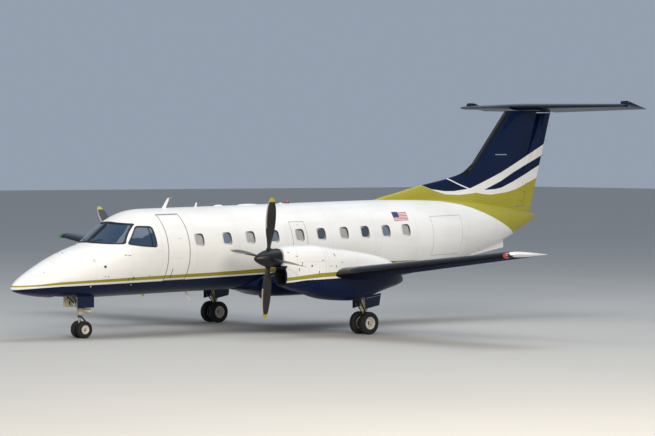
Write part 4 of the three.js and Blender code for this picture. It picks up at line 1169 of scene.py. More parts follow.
levels = [0.60, 0.73] + [DORSAL_FOOT + k * (DORSAL_TOP - DORSAL_FOOT) / 22 for k in range(22)]
levels += [DORSAL_TOP + k * (FIN_TOP - DORSAL_TOP) / 10 for k in range(11)]
fin = loft([fin_ring(z) for z in levels])
RUDDER_TOP, BEHIND_ALL = 3.586, 20.5
rudder_room = plate([(on_line(RUDDER_LINE, 0), 0), (on_line(RUDDER_LINE, RUDDER_TOP), RUDDER_TOP),
                     (BEHIND_ALL, RUDDER_TOP), (BEHIND_ALL, 0)], "y", -0.4, 0.4)
rudder_cove = bar(*(spot(on_line(RUDDER_LINE, z), 0, z) for z in (0.3, 3.58)), 0.118, 0.083)
piece("fin_skin", carved(fin, [rudder_room, rudder_cove]), fin_paint,
      replaces=("fin",))
for node in ("rudder", "rudder_tab"):
    polished(node, fin_paint)

# %% [markdown]
# ## Tailplane
# The tailplane sits on top of the fin. Its elevators, which hang down on the parked aircraft,
# keep their CAD shapes, with their balance horns at the tips.

# %% Tailplane
TAIL_Z, TAIL_TRAIL, TAIL_THICK = 3.745, 19.64, 0.11
TAIL_PLAY, HORN_LONG, HORN_AHEAD = 0.014, 0.33, 0.314
ELEVATOR_ROOT, PAST_TIP = 0.076, 3.52


def tail_ring(y, kept):
    """A section of the tailplane, kept at full thickness or thinned near its tips."""
    t = abs(y) / TAIL_HALF
    lead = TAIL_LEAD_ROOT + (TAIL_LEAD_TIP - TAIL_LEAD_ROOT) * t
    trail = TAIL_TRAIL + 0.43 * t
    return [spot(lead + x * (trail - lead), y, TAIL_Z + v * (trail - lead))
            for x, v in section(TAIL_THICK * kept, False, 20)]


def elevator_room(side):
    """Cutters for one elevator: its outline, with the horn, and a round hollow at its hinge."""
    def hinge(y):
        return 18.98 + 0.68 * y / TAIL_HALF

    horn = TAIL_HALF - HORN_LONG
    horn_front = hinge(horn) - HORN_AHEAD
    outline = [(hinge(0.09), ELEVATOR_ROOT), (hinge(horn), horn - TAIL_PLAY),
               (horn_front, horn - TAIL_PLAY),
               (horn_front, PAST_TIP), (BEHIND_ALL, PAST_TIP), (BEHIND_ALL, ELEVATOR_ROOT)]
    ends = [spot(hinge(y), side * y, TAIL_Z) for y in (ELEVATOR_ROOT, horn)]
    return [plate([(s, side * y) for s, y in outline], "z", 3.0, 4.5), bar(*ends, 0.092, 0.066)]


half_plane = [(0.0, 1), (1.2, 1), (2.4, 1), (TAIL_HALF - 0.06, 1), (TAIL_HALF - 0.02, 0.8),
              (TAIL_HALF, 0.35)]
both = [(-y, kept) for y, kept in half_plane[:0:-1]] + half_plane
tailplane = loft([tail_ring(y, kept) for y, kept in both])
tailplane = carved(tailplane, elevator_room(1) + elevator_room(-1))
piece("tailplane_skin", tailplane, tail_paint, replaces=("tailplane",))
for word, _ in SIDES:
    polished(f"elevator_{word}", tail_paint)

# %% [markdown]
# ## Small finishes
# The rest of the aircraft is rubber, cream-painted steel, bare metal and lenses. Each drifts
# between two near colours and two roughnesses, so one function makes them all. Rubber, leather,
# linings and rough metal also get a fine bump.

# %% Small finishes
def drifting(name, dark, light, low, high, scale=12.0, grain=0.0, **constants):
    """A finish that wanders between two colours and two roughnesses."""
    made = Finish(name, **constants)
    cloud = made.noise(scale, 4.0)
    made.colour(made.blend((cloud * 1.6 - 0.3).clamped(), rgb(dark), rgb(light)))
    made.rough(cloud * (high - low) + low)
    if grain:
        made.bump(made.noise(scale * 9, 2.0), grain)
    return made


rubber = drifting("black_rubber", "0c0c0e", "1b1b1d", 0.45, 0.65, 20, 0.0006)
tread_rubber = drifting("tyre_rubber", "0d0d0e", "242221", 0.60, 0.85, 16, 0.0012)
cream = drifting("cream_leg_paint", "ad9f80", "eadfc2", 0.28, 0.48, 7, 0.0004)
hub_cream = drifting("wheel_hub_paint", "cbbfae", "f2ece0", 0.30, 0.50, 9, 0.0003)
oleo = drifting("polished_steel", "9a9a98", "d0d0cd", 0.12, 0.22, 18, Metallic=1.0)
duct_black = drifting("duct_black", "060607", "101012", 0.5, 0.7, 8)
spinner_black = drifting("spinner_black", "0b0b0d", "15151a", 0.26, 0.4, 5, Specular_IOR_Level=0.4)
cast_metal = drifting("engine_metal", "3f4042", "77777a", 0.35, 0.6, 9, 0.001, Metallic=0.9)
burnt = drifting("exhaust_metal", "2b1d15", "7a5a42", 0.3, 0.6, 6, 0.0006, Metallic=0.9)
hide = drifting("seat_leather", "2b2d33", "41444c", 0.45, 0.62, 14, 0.0008)
lining = drifting("cabin_lining", "2c2c2e", "3d3d3f", 0.6, 0.8, 8, 0.0004)
clear_lens = drifting("lamp_lens", "dfe4e8", "ffffff", 0.05, 0.12, 10, Coat_Weight=1.0)
red_lens = drifting("red_lens", "8c1208", "d8281a", 0.06, 0.15, 30, Coat_Weight=1.0)
green_lens = drifting("green_lens", "0d5a2a", "1d9a4c", 0.06, 0.15, 30, Coat_Weight=1.0)
print(len(bpy.data.materials), "materials so far")

# %% [markdown]
# ## Window rubbers
# The windscreen panes sit in thick black rubber that joins over the centre post, and the side
# windows in a thinner one. Each is the skin's own shell kept only inside a wider outline, less
# the pane's outline, and it stands a few millimetres proud.

# %% Window rubbers
def rubber_shell(front, back):
    """The skin's shell between two stations, a little proud of it."""
    return carved(tube(front, back, RUBBER_PROUD, step=0.06),
                  [tube(front - 0.1, back + 0.1, -RUBBER_SUNK, step=0.06)])


RUBBER_PROUD, RUBBER_SUNK = 0.005, 0.024
BOTH_PANES = [(-0.965, 0.262), (-0.705, 0.787), (-0.10, 0.835), (0.10, 0.835), (0.705, 0.787),
              (0.965, 0.262), (0.07, 0.308), (-0.07, 0.308)]
surround = carved(rubber_shell(2.2, 3.7), [front_cutter(1, rounded(BOTH_PANES, 0.05))], "INTERSECT")
surround = carved(surround, [front_cutter(1), front_cutter(-1)])
piece("windscreen_rubber", surround, rubber)
for word, side in SIDES:
    surround = carved(rubber_shell(2.85, 4.05), [side_cutter(side, 0.026)], "INTERSECT")
    surround = carved(surround, [side_cutter(side)])
    slider = block(3.735, 3.75, side * 0.8, side * 1.15, 0.17, 0.71)
    slider = carved(rubber_shell(3.6, 3.9), [slider], "INTERSECT")
    piece(f"side_window_rubber_{word}", joined(surround, slider), rubber)

# %% [markdown]
# ## Linings and the cockpit
# Through the glass one sees a grey lining, a panel of dark screens under a glare shield, and two
# seats. The lining is a thin shell between two sizes of the same room. The seats' padded parts
# are crowned cushions on rigid shells.

# %% Linings
def lined(front, back, floor, openings):
    """The lining of a room, as a thin shell just inside its walls."""
    outer, inner = [room(front + gap, back - gap, floor + gap, wall) for gap, wall in LINING_FACES]
    return carved(carved(outer, [inner]), openings)


LINING_FACES = ((0.004, 0.0645), (0.010, 0.0705))    # distance from the room's ends, and wall
LINING_PLAY = 0.012
panes_cut = [cut for _, side in SIDES for cut in (side_cutter(side, 0.004), front_cutter(side))]
piece("cockpit_lining", lined(2.15, 4.0, COCKPIT_FLOOR, panes_cut), lining)
door_gap = opening(DOOR, LINING_PLAY, below=0.02)
piece("lobby_lining", lined(4.09, 5.12, CABIN_FLOOR, [door_gap]), lining)
hold = carved(room(13.184, 15.146, -0.5, 0.0645),
              [room(13.19, 15.14, -0.49, 0.0705), opening(CARGO, LINING_PLAY)])
piece("hold_lining", hold, lining)

# %% Instrument panel
screen_black = drifting("screen_glass", "05070a", "0c1218", 0.05, 0.12, 5, Coat_Weight=1.0)
polished("instrument_panel", satin_trim)
shield = carved(room(2.38, 2.78, 0.262, 0.09), [block(2.2, 2.9, -0.75, 0.75, 0.30, 1.2)])
piece("glare_shield", eased(shield, 0.01, corners(shield)), satin_trim)
screens = [eased(block(2.681, 2.694, y - 0.09, y + 0.09, 0.02, 0.19), 0.005)
           for y in (-0.46, -0.24, 0.0, 0.24, 0.46)]
piece("panel_screens", joined(*screens), screen_black)

# %% Cockpit seats
SEAT_Y = 0.42
SEAT_TUB = [(3.13, 3.63, 0.22, -0.082, -0.064), (3.60, 3.625, 0.215, -0.07, 0.54),
            (3.20, 3.52, 0.11, -0.398, -0.083)]


def cushion(centre, size, crown):
    """A crowned pad: a divided block whose faces swell towards their middles."""
    form = bmesh.new()
    bmesh.ops.create_cube(form, size=2)
    bmesh.ops.subdivide_edges(form, edges=form.edges[:], cuts=7, use_grid_fill=True)
    thin = min(range(3), key=lambda k: size[k])
    for vert in form.verts:
        flat = [vert.co[k] for k in range(3) if k != thin]
        swell = (1 - flat[0] ** 4) * (1 - flat[1] ** 4)
        for k in range(3):
            if k != thin:
                vert.co[k] *= 1 - 0.05 * abs(vert.co[thin]) ** 2 - 0.03 * vert.co[k] ** 2
        vert.co[thin] *= (1 - crown) + crown * swell
        local = (-vert.co.x, vert.co.y, vert.co.z)
        vert.co = spot(*(c + s / 2 * v for c, s, v in zip(centre, size, local)))
    bmesh.ops.recalc_face_normals(form, faces=form.faces[:])
    return form


shells = []
for word, side in SIDES:
    y = side * SEAT_Y
    pads = {f"seat_pad_{word}": ((3.36, y, -0.025), (0.46, 0.42, 0.075)),
            f"seat_back_pad_{word}": ((3.56, y, 0.28), (0.075, 0.42, 0.50)),
            f"headrest_pad_{word}": ((3.585, y, 0.60), (0.06, 0.24, 0.13))}
    for name, (centre, size) in pads.items():
        piece(name, cushion(centre, size, 0.35), hide)
    for s0, s1, half, z0, z1 in SEAT_TUB:
        shells.append(eased(block(s0, s1, y - half, y + half, z0, z1), 0.008))
    shells += [bar(spot(3.605, y, 0.53), spot(3.605, y, 0.62), 0.012)]
piece("seat_shells", joined(*shells), satin_trim, replaces=("cockpit_seats",))

# %% [markdown]
# ## Propellers
# Each blade is a loft of aerofoil sections that thin out and turn a little towards the tip, and
# are widest half-way. The tips are yellow. The leading edge has a black boot inside and a bare
# metal guard, worn pale, outside. Both follow a value stored at each point of the loft.

# %% Blade finish
blade_black = Finish("blade_black", Coat_Weight=0.15)
GUARD_FROM, YELLOW_FROM = 0.80, 1.49    # distances from the hub's axis
across, up = blade_black.side - TRACK, blade_black.z - THRUST
out = (across * across + up * up).math("SQRT")
wear = blade_black.noise(10, 5)
guard = Number(blade_black, blade_black.node("Attribute", attribute_name="edge").outputs["Fac"])
paint = blade_black.blend(wear, rgb("141214"), rgb("2c2724"))
boot_band = guard.over(0.35, 0.05) * out.over(0.36, 0.01) * out.under(GUARD_FROM, 0.01)
paint = blade_black.blend(boot_band * 0.8, paint, rgb("0a0a0b"))
paint = blade_black.blend(guard.over(0.5, 0.05) * out.over(GUARD_FROM, 0.01), paint, rgb("a59b90"))
blade_black.colour(blade_black.blend(out.over(YELLOW_FROM, 0.01), paint, rgb("b9a80c")))
blade_black.rough(wear * 0.25 + 0.28)

# %% Blades and spinners
PROP_RADIUS, PROP_STATION, BLADES = 1.6, 5.878, 4
SPINNER_STATION, SPINNER_LONG = 5.40, 0.77
PROP_SET = {"left": -6.5, "right": 40}
BLADE = [(0.09, 0.110, 0.100, 84), (0.19, 0.120, 0.090, 84), (0.30, 0.205, 0.055, 83),
         (0.45, 0.300, 0.036, 88), (0.62, 0.325, 0.026, 94), (0.80, 0.285, 0.018, 99),
         (0.93, 0.185, 0.013, 101), (0.98, 0.115, 0.009, 101.6), (1.0, 0.050, 0.004, 102)]
SPINNER = [(0.0, 0.0), (0.006, 0.022), (0.025, 0.045), (0.1, 0.1), (0.22, 0.16), (0.38, 0.215),
           (0.56, 0.244), (0.77, 0.25)]


def blade_form():
    """One blade that stands up from the origin.

    A row of BLADE is share of the radius, chord, thickness and angle.
    """
    rings, guards = [], {}
    for k in range(26):
        share = 0.09 + 0.91 * (1 - (1 - k / 25) ** 1.4)
        chord, thick, angle = smooth_row(BLADE, share)
        a = math.radians(angle)
        ring = []
        for x, v in section(thick / chord, False, 12):
            u = (0.5 - x) * chord
            v *= chord
            point = Vector((u * math.sin(a) + v * math.cos(a), u * math.cos(a) - v * math.sin(a),
                            share * PROP_RADIUS))
            guards[point.to_tuple(4)] = 1.0 if x < 0.09 else 0.0
            ring.append(point)
        rings.append(ring)
    form = loft(rings)
    edge = form.verts.layers.float.new("edge")
    for vert in form.verts:
        vert[edge] = guards.get(vert.co.to_tuple(4), 0.0)
    return form


def spun(profile, centre, axis, around=48):
    """A line of (radius, along) points turned round an axis through a centre."""
    form = bmesh.new()
    centre, axis, out = Vector(centre), Vector(axis), Vector((0, 0, 1))
    verts = [form.verts.new(centre + axis * along + out * radius) for radius, along in profile]
    edges = [form.edges.new(pair) for pair in zip(verts, verts[1:])]
    bmesh.ops.spin(form, geom=verts + edges, cent=centre, axis=axis, angle=math.tau, steps=around,
                   use_merge=True)
    bmesh.ops.remove_doubles(form, verts=form.verts[:], dist=1e-5)
    bmesh.ops.recalc_face_normals(form, faces=form.faces[:])
    return form


SPINNER_PLACES = [0, 0.003, 0.006, 0.012, 0.02] + [SPINNER_LONG * (k / 30) for k in range(1, 31)]
SPINNER_RIM = [(0.249, -0.765), (0.244, -0.768), (0.1, -0.770), (0.1, -0.70), (0.0, -0.70)]
spinner_line = [(smooth_row(SPINNER, aft)[0], -aft) for aft in sorted(SPINNER_PLACES)]

for word, side in SIDES:
    hub = spot(PROP_STATION, side * TRACK, THRUST)
    body = f"propeller_{word}"
    blades, cuffs = [], []
    for k in range(BLADES):
        angle = math.radians(PROP_SET[word] + 90 * k)
        turn = Matrix.Translation(hub) @ Matrix.Rotation(angle, 4, "X")
        blade = blade_form()
        bmesh.ops.transform(blade, matrix=turn, verts=blade.verts)
        blades.append(blade)
        cuff = turn @ Vector((0, 0, 0.15)), turn @ Vector((0, 0, 0.262))
        cuffs.append(bar(*cuff, 0.082, 0.074, 32))
    piece(f"propeller_blades_{word}", joined(*blades), blade_black, body,
          (f"propeller_{word}",))

    tip = spot(SPINNER_STATION, side * TRACK, THRUST)
    cone = spun(spinner_line[:-1] + SPINNER_RIM, tip, (1, 0, 0), 56)
    bands = []
    for at, r in ((0.30, smooth_row(SPINNER, 0.30)[0]), (0.745, 0.2495)):
        band = [(r, -at), (r + 0.002, -at), (r + 0.002, -at - 0.012), (r, -at - 0.012), (r, -at)]
        bands.append(spun(band, tip, (1, 0, 0), 56))
    piece(f"spinner_dome_{word}", joined(cone, *cuffs, *bands), spinner_black, body,
          (f"spinner_{word}",))
    shaft = bar(hub, spot(6.29, side * TRACK, THRUST), 0.09, around=32)
    piece(f"propeller_shaft_{word}", shaft, dark_steel, body)

# %% [markdown]
# ## Intakes, exhausts and engines
# The chin intake is a dark duct inside the cowl. A thin tapering tube lines it. The exhaust
# pipes are heat-stained steel, and the engines are solid blocks of cast metal inside the cowls.

# %% Intake ducts
DUCT_OUTER = [(6.281, -0.4215, -0.8535, 0.2085, -0.64), (6.34, -0.4365, -0.8585, 0.1965, -0.65),
              (6.845, -0.5015, -0.8985, 0.1885, -0.69)]
DUCT_WALL = 0.004
DUCT_INNER = [(station, top - DUCT_WALL, foot + DUCT_WALL, half - DUCT_WALL, waist)
              for station, (_, top, foot, half, waist) in zip((6.25, 6.34, 6.83), DUCT_OUTER)]

for word, side in SIDES:
    y = side * TRACK
    duct = carved(duct_loft(DUCT_OUTER, 64, y), [duct_loft(DUCT_INNER, 64, y)])
    vanes = [block(6.55, 6.56, y - 0.17, y + 0.17, z - 0.004, z + 0.004)
             for z in (-0.60, -0.68, -0.76)]
    piece(f"intake_duct_{word}", joined(duct, *vanes), duct_black)
    polished(f"exhaust_{word}", burnt)
    polished(f"engine_{word}", cast_metal)

# %% [markdown]
# ## Wheels and tyres
# The gear's wheels stand upright on the ground, so they are drawn in the ground's own frame. A
# tyre is a profile with grooves spun about its axle. A wheel is a dished disc with a ring of
# cooling slots, a bolt circle and a hub cap, drawn once and mirrored for its twin.

# %% Wheels and tyres
MAIN_X, LIP_SHARE = 0.838, 0.4
NOSE_WHEEL = {"centre": Vector((7.808, 0, 0.2285)), "radius": 0.2285, "width": 0.140, "rim": 0.118,
              "half": 0.125}
MAIN_WHEEL = {"centre": Vector((MAIN_X, 0, 0.305)), "radius": 0.305, "width": 0.184, "rim": 0.168,
              "half": 0.188}


def tyre_form(wheel, y, grooves):
    """A tyre whose tread has a few round grooves."""
    big, w, rim = wheel["radius"], wheel["width"] / 2, wheel["rim"] + 0.0005
    wall = [(rim, 0.80 * w), (rim + 0.012, 0.95 * w), (rim + 0.3 * (big - rim), 1.0 * w),
            (rim + 0.55 * (big - rim), 0.99 * w), (rim + 0.78 * (big - rim), 0.93 * w),
            (big * 0.965, 0.80 * w), (big * 0.988, 0.62 * w), (big * 0.997, 0.46 * w)]
    tread = []
    for place in grooves:
        tread += [(big - deep, place + wide) for deep, wide in
                  ((0, 0.0055), (0.007, 0.0035), (0.007, -0.0035), (0, -0.0055))]
    profile = wall + tread + [(r, -along) for r, along in reversed(wall)] + [wall[0]]
    return spun(profile, wheel["centre"] + Vector((0, y, 0)), (0, 1, 0), 64)


def wheel_form(wheel, slots):
    """One dished wheel that faces port, at the origin."""
    rim, lip = wheel["rim"], wheel["width"] * LIP_SHARE
    face = [(0, lip + 0.006), (0.16 * rim, lip + 0.006), (0.24 * rim, lip + 0.001),
            (0.27 * rim, lip - 0.010), (0.34 * rim, 0.034), (0.42 * rim, 0.030),
            (0.60 * rim, 0.020), (0.76 * rim, 0.026), (0.80 * rim, 0.040),
            (0.83 * rim, lip - 0.012), (0.87 * rim, lip - 0.002), (0.93 * rim, lip + 0.003),
            (0.985 * rim, lip + 0.001), (rim, lip - 0.004)]
    back = [(rim, -lip), (rim - 0.014, -lip), (0.80 * rim, -0.01), (0.5 * rim, -0.006),
            (0.33 * rim, -0.012), (0, -0.012)]
    disc = spun(face + back, (0, 0, 0), (0, 1, 0), 60)
    cutters, bolts = [], []
    for k in range(slots):
        turn = Matrix.Rotation(math.tau * (k + 0.5) / slots, 3, "Y")
        at = turn @ Vector((0.66 * rim, 0, 0))
        cutters.append(bar(at + Vector((0, 0.08, 0)), at - Vector((0, 0.08, 0)), 0.105 * rim,
                           around=16))
        at = turn @ Vector((0.47 * rim, 0, 0))
        bolts.append(bar(at + Vector((0, 0.02, 0)), at + Vector((0, 0.036, 0)), 0.042 * rim,
                         around=6))
    return joined(carved(disc, [joined(*cutters)]), *bolts)


def set_of_wheels(name, wheel, y, body, slots, grooves, nut):
    """Two tyres, two wheels on one axle, valves, hub caps and dark discs of painted shade behind
    the slots.
    """
    wheels = []
    for end, side in (("a", 1), ("b", -1)):
        place = Matrix.Translation(wheel["centre"] + Vector((0, y + side * wheel["half"], 0)))
        form = wheel_form(wheel, slots)
        if side < 0:
            form = flipped(form)
        bmesh.ops.transform(form, matrix=place, verts=form.verts)
        wheels.append(form)
        piece(f"{name}_grooved_tyre_{end}", tyre_form(wheel, y + side * wheel["half"], grooves),
              tread_rubber,
              body, (f"{name}_tyre_{end}",), leaning=False)
    ends = [wheel["centre"] + Vector((0, y + side * (wheel["half"] - 0.01), 0)) for side in (1, -1)]
    wheels.append(bar(*ends, 0.024, around=28))
    piece(f"{name}_dished_wheels", joined(*wheels), hub_cream, body, (f"{name}_hubs",),
          28, leaning=False)
    valves, rim, lip = [], wheel["rim"], wheel["width"] * LIP_SHARE
    ring = [(0.262 * rim, lip - 0.012), (0.345 * rim, 0.036), (0.345 * rim, 0.040),
            (0.262 * rim, lip - 0.004)]
    for side in (1, -1):
        hub, out = wheel["centre"] + Vector((0, y + side * wheel["half"], 0)), Vector((0, side, 0))
        valve = hub + out * 0.02 + Vector((0.60 * rim, 0, 0.35 * rim))
        # The wide dark disc just behind each wheel is painted shade, so that the cooling slots look
        # like dark hollows.
        valves += [spun(ring + ring[:1], hub, out, 40),
                   bar(hub - out * 0.014, hub - out * 0.022, 0.80 * rim, around=48),
                   bar(valve, valve + out * 0.022, 0.004, around=10),
                   bar(hub + out * (lip + 0.004), hub + out * (lip + 0.013), nut * rim, around=24)]
    piece(f"{name}_valves_and_caps", joined(*valves), dark_steel, body, leaning=False)


set_of_wheels("nose_wheel", NOSE_WHEEL, 0, "nose_wheels", 10, (-0.024, 0, 0.024), 0.15)
for word, side in SIDES:
    set_of_wheels(f"main_wheel_{word}", MAIN_WHEEL, side * TRACK, f"main_wheels_{word}", 12,
                  (-0.036, -0.012, 0.012, 0.036), 0.08)

# %% [markdown]
# ## The nose leg
# The leg is a cream oleo strut: a wide upper cylinder, a bright sliding tube and a fork. Around
# it are two landing lamps, a steering jack, dark drag braces and torque links. The links turn
# with the wheels, so they ride on the steering body.

# %% Nose leg
def upright(x, y, z0, z1, r0, r1=None):
    """An upright bar between two heights over the ground."""
    return bar((x, y, z0), (x, y, z1), r0, r1, 32)


LEG_X = 7.868
polished("nose_leg", cream)
polished("nose_fork", cream)
collars = [upright(LEG_X, 0, 0.640, 0.70, 0.072), upright(LEG_X, 0, 0.70, 0.80, 0.066, 0.088),
           upright(LEG_X, 0, 0.80, 1.10, 0.088, 0.122), upright(LEG_X, 0, 0.966, 1.0, 0.124, 0.126),
           bar((LEG_X, 0.0, 0.745), (LEG_X - 0.22, 0.13, 0.715), 0.058, around=28),
           bar((LEG_X - 0.21, 0.124, 0.717), (LEG_X - 0.26, 0.154, 0.71), 0.066, 0.060, 28),
           bar((LEG_X + 0.02, -0.15, 0.97), (LEG_X + 0.02, 0.15, 0.97), 0.022)]
piece("nose_leg_housing", joined(*collars), cream, leaning=False)
braces = [bar((LEG_X + 0.06, side * 0.07, 0.86), (LEG_X + 0.34, side * 0.12, 1.14), 0.018)
          for _, side in SIDES]
braces += [bar((LEG_X - 0.02, 0.04, 0.70), (LEG_X - 0.20, 0.10, 0.665), 0.012),
           bar((LEG_X + 0.34, -0.13, 1.13), (LEG_X + 0.34, 0.13, 1.13), 0.014),
           bar((LEG_X + 0.05, 0, 1.06), (LEG_X + 0.11, 0, 0.90), 0.020)]
piece("nose_leg_braces", joined(*braces), dark_steel, leaning=False)

LAMP_CUP = [(0, -0.055), (0.03, -0.055), (0.062, -0.02), (0.070, 0.0), (0.070, 0.014),
            (0.064, 0.016), (0.060, 0.004), (0, -0.008)]
LAMP_LENS = [(0, 0.012), (0.03, 0.0105), (0.0595, 0.006), (0.0595, 0.002), (0, 0.002)]
places = [(LEG_X + 0.115, side * 0.085, 0.905) for _, side in SIDES]
for name, profile, finish, slot in (("nose_lamp_cups", LAMP_CUP, cream, "leg_metal"),
                                    ("nose_lamp_lenses", LAMP_LENS, clear_lens, "window_glass")):
    forms = [spun(profile, place, (1, 0, 0), 32) for place in places]
    piece(name, joined(*forms), finish, leaning=False)

links = []
for side in (-1, 1):
    links += rods([(LEG_X - 0.05, side * 0.04, 0.575), (LEG_X - 0.165, side * 0.012, 0.46),
                   (LEG_X - 0.075, side * 0.03, 0.315)], 0.011, 14)
links += [bar((LEG_X - 0.165, -0.03, 0.46), (LEG_X - 0.165, 0.03, 0.46), 0.012, around=16),
          upright(LEG_X, 0, 0.545, 0.600, 0.052), upright(LEG_X, 0, 0.30, 0.335, 0.046)]
piece("nose_torque_links", joined(*links), dark_steel, "nose_steering",
      leaning=False)
piece("nose_oleo", upright(LEG_X, 0, 0.335, 0.548, 0.0405), oleo, "nose_steering",
      leaning=False)

# %% [markdown]
# ## The main legs
# Each main leg hangs in its nacelle: a cream cylinder, a bright tube, dark folding braces in
# front and brake pipes down to the axle.

# %% Main legs
for word, side in SIDES:
    y = side * TRACK
    polished(f"main_leg_{word}", cream)
    x = MAIN_X
    trunk = [upright(x, y, 0.62, 0.66, 0.082, 0.096), upright(x, y, 0.66, 1.0, 0.096, 0.104),
             upright(x, y, 0.80, 0.83, 0.110), bar((x, y - 0.12, 0.90), (x, y + 0.12, 0.90), 0.034),
             upright(x, y, 0.385, 0.42, 0.058)]
    piece(f"main_leg_trunk_{word}", joined(*trunk), cream, leaning=False)
    piece(f"main_oleo_{word}", upright(x, y, 0.42, 0.625, 0.0485), oleo,
          leaning=False)
    dark = []
    for k in (-1, 1):
        knee = (x + 0.24, y + k * 0.11, 0.93)
        dark += [bar((x + 0.02, y + k * 0.075, 0.60), knee, 0.019),
                 bar(knee, (x + 0.34, y + k * 0.12, 1.10), 0.024)]
        dark += rods([(x - 0.05, y + k * 0.03, 0.60), (x - 0.17, y + k * 0.012, 0.50),
                      (x - 0.06, y + k * 0.03, 0.385)], 0.012, 14)
        dark += [bar((x + 0.055, y + k * 0.075, 0.33), (x + 0.075, y + k * 0.06, 0.60), 0.007,
                     around=10)]
    dark += [bar((x + 0.24, y - 0.125, 0.93), (x + 0.24, y + 0.125, 0.93), 0.026),
             bar((x - 0.17, y - 0.03, 0.50), (x - 0.17, y + 0.03, 0.50), 0.013, around=16),
             bar((x + 0.02, y - 0.09, 0.60), (x + 0.02, y + 0.09, 0.60), 0.018)]
    piece(f"main_leg_braces_{word}", joined(*dark), dark_steel, leaning=False)
    carrier = [(0.031, 0), (0.055, 0), (0.060, 0.006), (0.060, 0.028), (0.031, 0.028), (0.031, 0)]
    plates = [spun(carrier, (x, y + k * 0.096 - 0.014, 0.305), (0, 1, 0), 32) for k in (-1, 1)]
    piece(f"brake_carriers_{word}", joined(*plates), cast_metal, leaning=False)

# %% [markdown]
# ## Gear doors
# The doors are thin pans: navy outside, and the nose pair cream inside with pressed ribs and hinge
# arms. One material does both faces, because a nose door's inner face is nearer the centreline.

# %% Gear doors
pan = Finish("gear_door_paint", Specular_IOR_Level=0.4)
# The main doors lie far out, so their inner faces are navy as well: painted shade on faces that lie
# in shadow.
outside_and_shaded_inside = pan.side.over(0.3055, 0.0006)
pan_cloud = pan.noise(7.0, 4.0)
pan_inner = pan.blend(pan_cloud, rgb("e0d6b8"), rgb("f6eed6"))
pan.colour(pan.blend(outside_and_shaded_inside, pan_inner, NAVY)).rough(pan_cloud * 0.2 + 0.28)

NOSE_RIBS = [(1.875, 1.90, 0.014, -1.37, -1.16), (2.335, 2.36, 0.014, -1.37, -1.16),
             (1.90, 2.335, 0.012, -1.372, -1.352), (2.10, 2.12, 0.016, -1.36, -1.17)]

for word, side in SIDES:
    polished(f"nose_gear_door_{word}", pan)
    inner = side * 0.293
    ribs = [eased(block(s0, s1, inner, inner - side * deep, z0, z1), 0.004)
            for s0, s1, deep, z0, z1 in NOSE_RIBS]
    piece(f"nose_door_ribs_{word}", joined(*ribs), cream)
    arms = [bar(spot(s, side * 0.285, -1.17), spot(s, side * 0.268, -1.06), 0.012, around=14)
            for s in (1.95, 2.28)]
    arms.append(bar(spot(2.02, side * 0.284, -1.23), spot(2.02, side * 0.284, -1.33), 0.016,
                    around=14))
    piece(f"nose_door_arms_{word}", joined(*arms), dark_steel)

    polished(f"main_gear_doors_{word}", pan)
    # The pale blue-grey strips on the main doors are painted highlights: bright lines of reflected
    # sky along them.
    highlight_strips = []
    for k in (-1, 1):
        y = side * TRACK + k * 0.2725
        highlight_strips.append(bar(spot(9.03, y, -1.352), spot(9.52, y, -1.292), 0.006, around=10))
        inner_y = side * TRACK + k * 0.252
        for s in (9.10, 9.27):
            highlight_strips.append(bar(spot(s, inner_y, -1.40), spot(s, inner_y, -1.58), 0.007, around=10))
    highlight_finish = drifting(f"door_highlight_{word}", "8f9aa8", "b6bfca", 0.3, 0.4)
    piece(f"main_door_highlights_{word}", joined(*highlight_strips), highlight_finish)

# %% [markdown]
# ## Aerials, beacons and small fittings
# Along the roof stand a tall swept aerial with a wire, a small blade, low domes and a red
# beacon. A second beacon and a swept aerial hang under the belly, and the nose has probes and
# drains. Those to port sit on the skin at the station where the photograph shows them.

# %% Aerials
def fin_blade(station, z, chord, tall, sweep, thick, taper=0.55, steps=6):
    """A small swept aerial: flat aerofoil sections from its foot to a rounded tip."""
    rings = []
    for k in range(steps + 1):
        t = k / steps
        rounding = math.sqrt(max(0.03, 1 - max(0.0, (t - 0.8) / 0.2) ** 2 * 0.9))
        size = chord * (1 - (1 - taper) * t) * rounding
        rings.append([spot(station + sweep * t + (x - 0.3) * size, v * size, z + tall * t)
                      for x, v in section(thick / chord, False, 10)])
    return loft(rings)


def dome(station, y, z, long, wide, tall):
    """A low rounded cover: a ball flattened and sunk into the skin."""
    form = bmesh.new()
    bmesh.ops.create_uvsphere(form, u_segments=32, v_segments=16, radius=1)
    bmesh.ops.scale(form, vec=(long / 2, wide / 2, tall), verts=form.verts)
    bmesh.ops.translate(form, vec=spot(station, y, z), verts=form.verts)
    return form


ROOF = 1.138
aerials = [fin_blade(4.91, ROOF - 0.01, 0.135, 0.275, 0.18, 0.014),
           fin_blade(5.99, ROOF - 0.01, 0.08, 0.13, 0.05, 0.010),
           bar(spot(5.06, 0, 1.398), spot(5.24, 0, 1.405), 0.006, 0.002, 10),
           dome(6.79, 0, ROOF, 0.30, 0.12, 0.034), dome(7.80, 0, ROOF, 0.68, 0.26, 0.030),
           dome(8.98, 0, ROOF, 0.12, 0.10, 0.024),
           fin_blade(5.60, -1.125, 0.10, -0.27, 0.19, 0.020, 0.7)]
piece("aerials", joined(*aerials), white_paint)
beacons = [dome(9.22, 0, ROOF + 0.02, 0.11, 0.10, 0.072), dome(8.26, 0, -1.385, 0.13, 0.12, 0.085)]
piece("beacons", joined(*beacons), red_lens)
bases = [bar(spot(9.22, 0, ROOF - 0.01), spot(9.22, 0, ROOF + 0.024), 0.062, around=28),
         bar(spot(8.26, 0, -1.30), spot(8.26, 0, -1.40), 0.070, around=28)]
piece("beacon_bases", joined(*bases), dark_steel)

# %% Probes, vents and marks on the nose
def on_skin(station, z, side=1, out=0.0):
    """A point of the skin at a station and height, or a little out from it."""
    return spot(station, side * (half_width(station, z) + out), z)


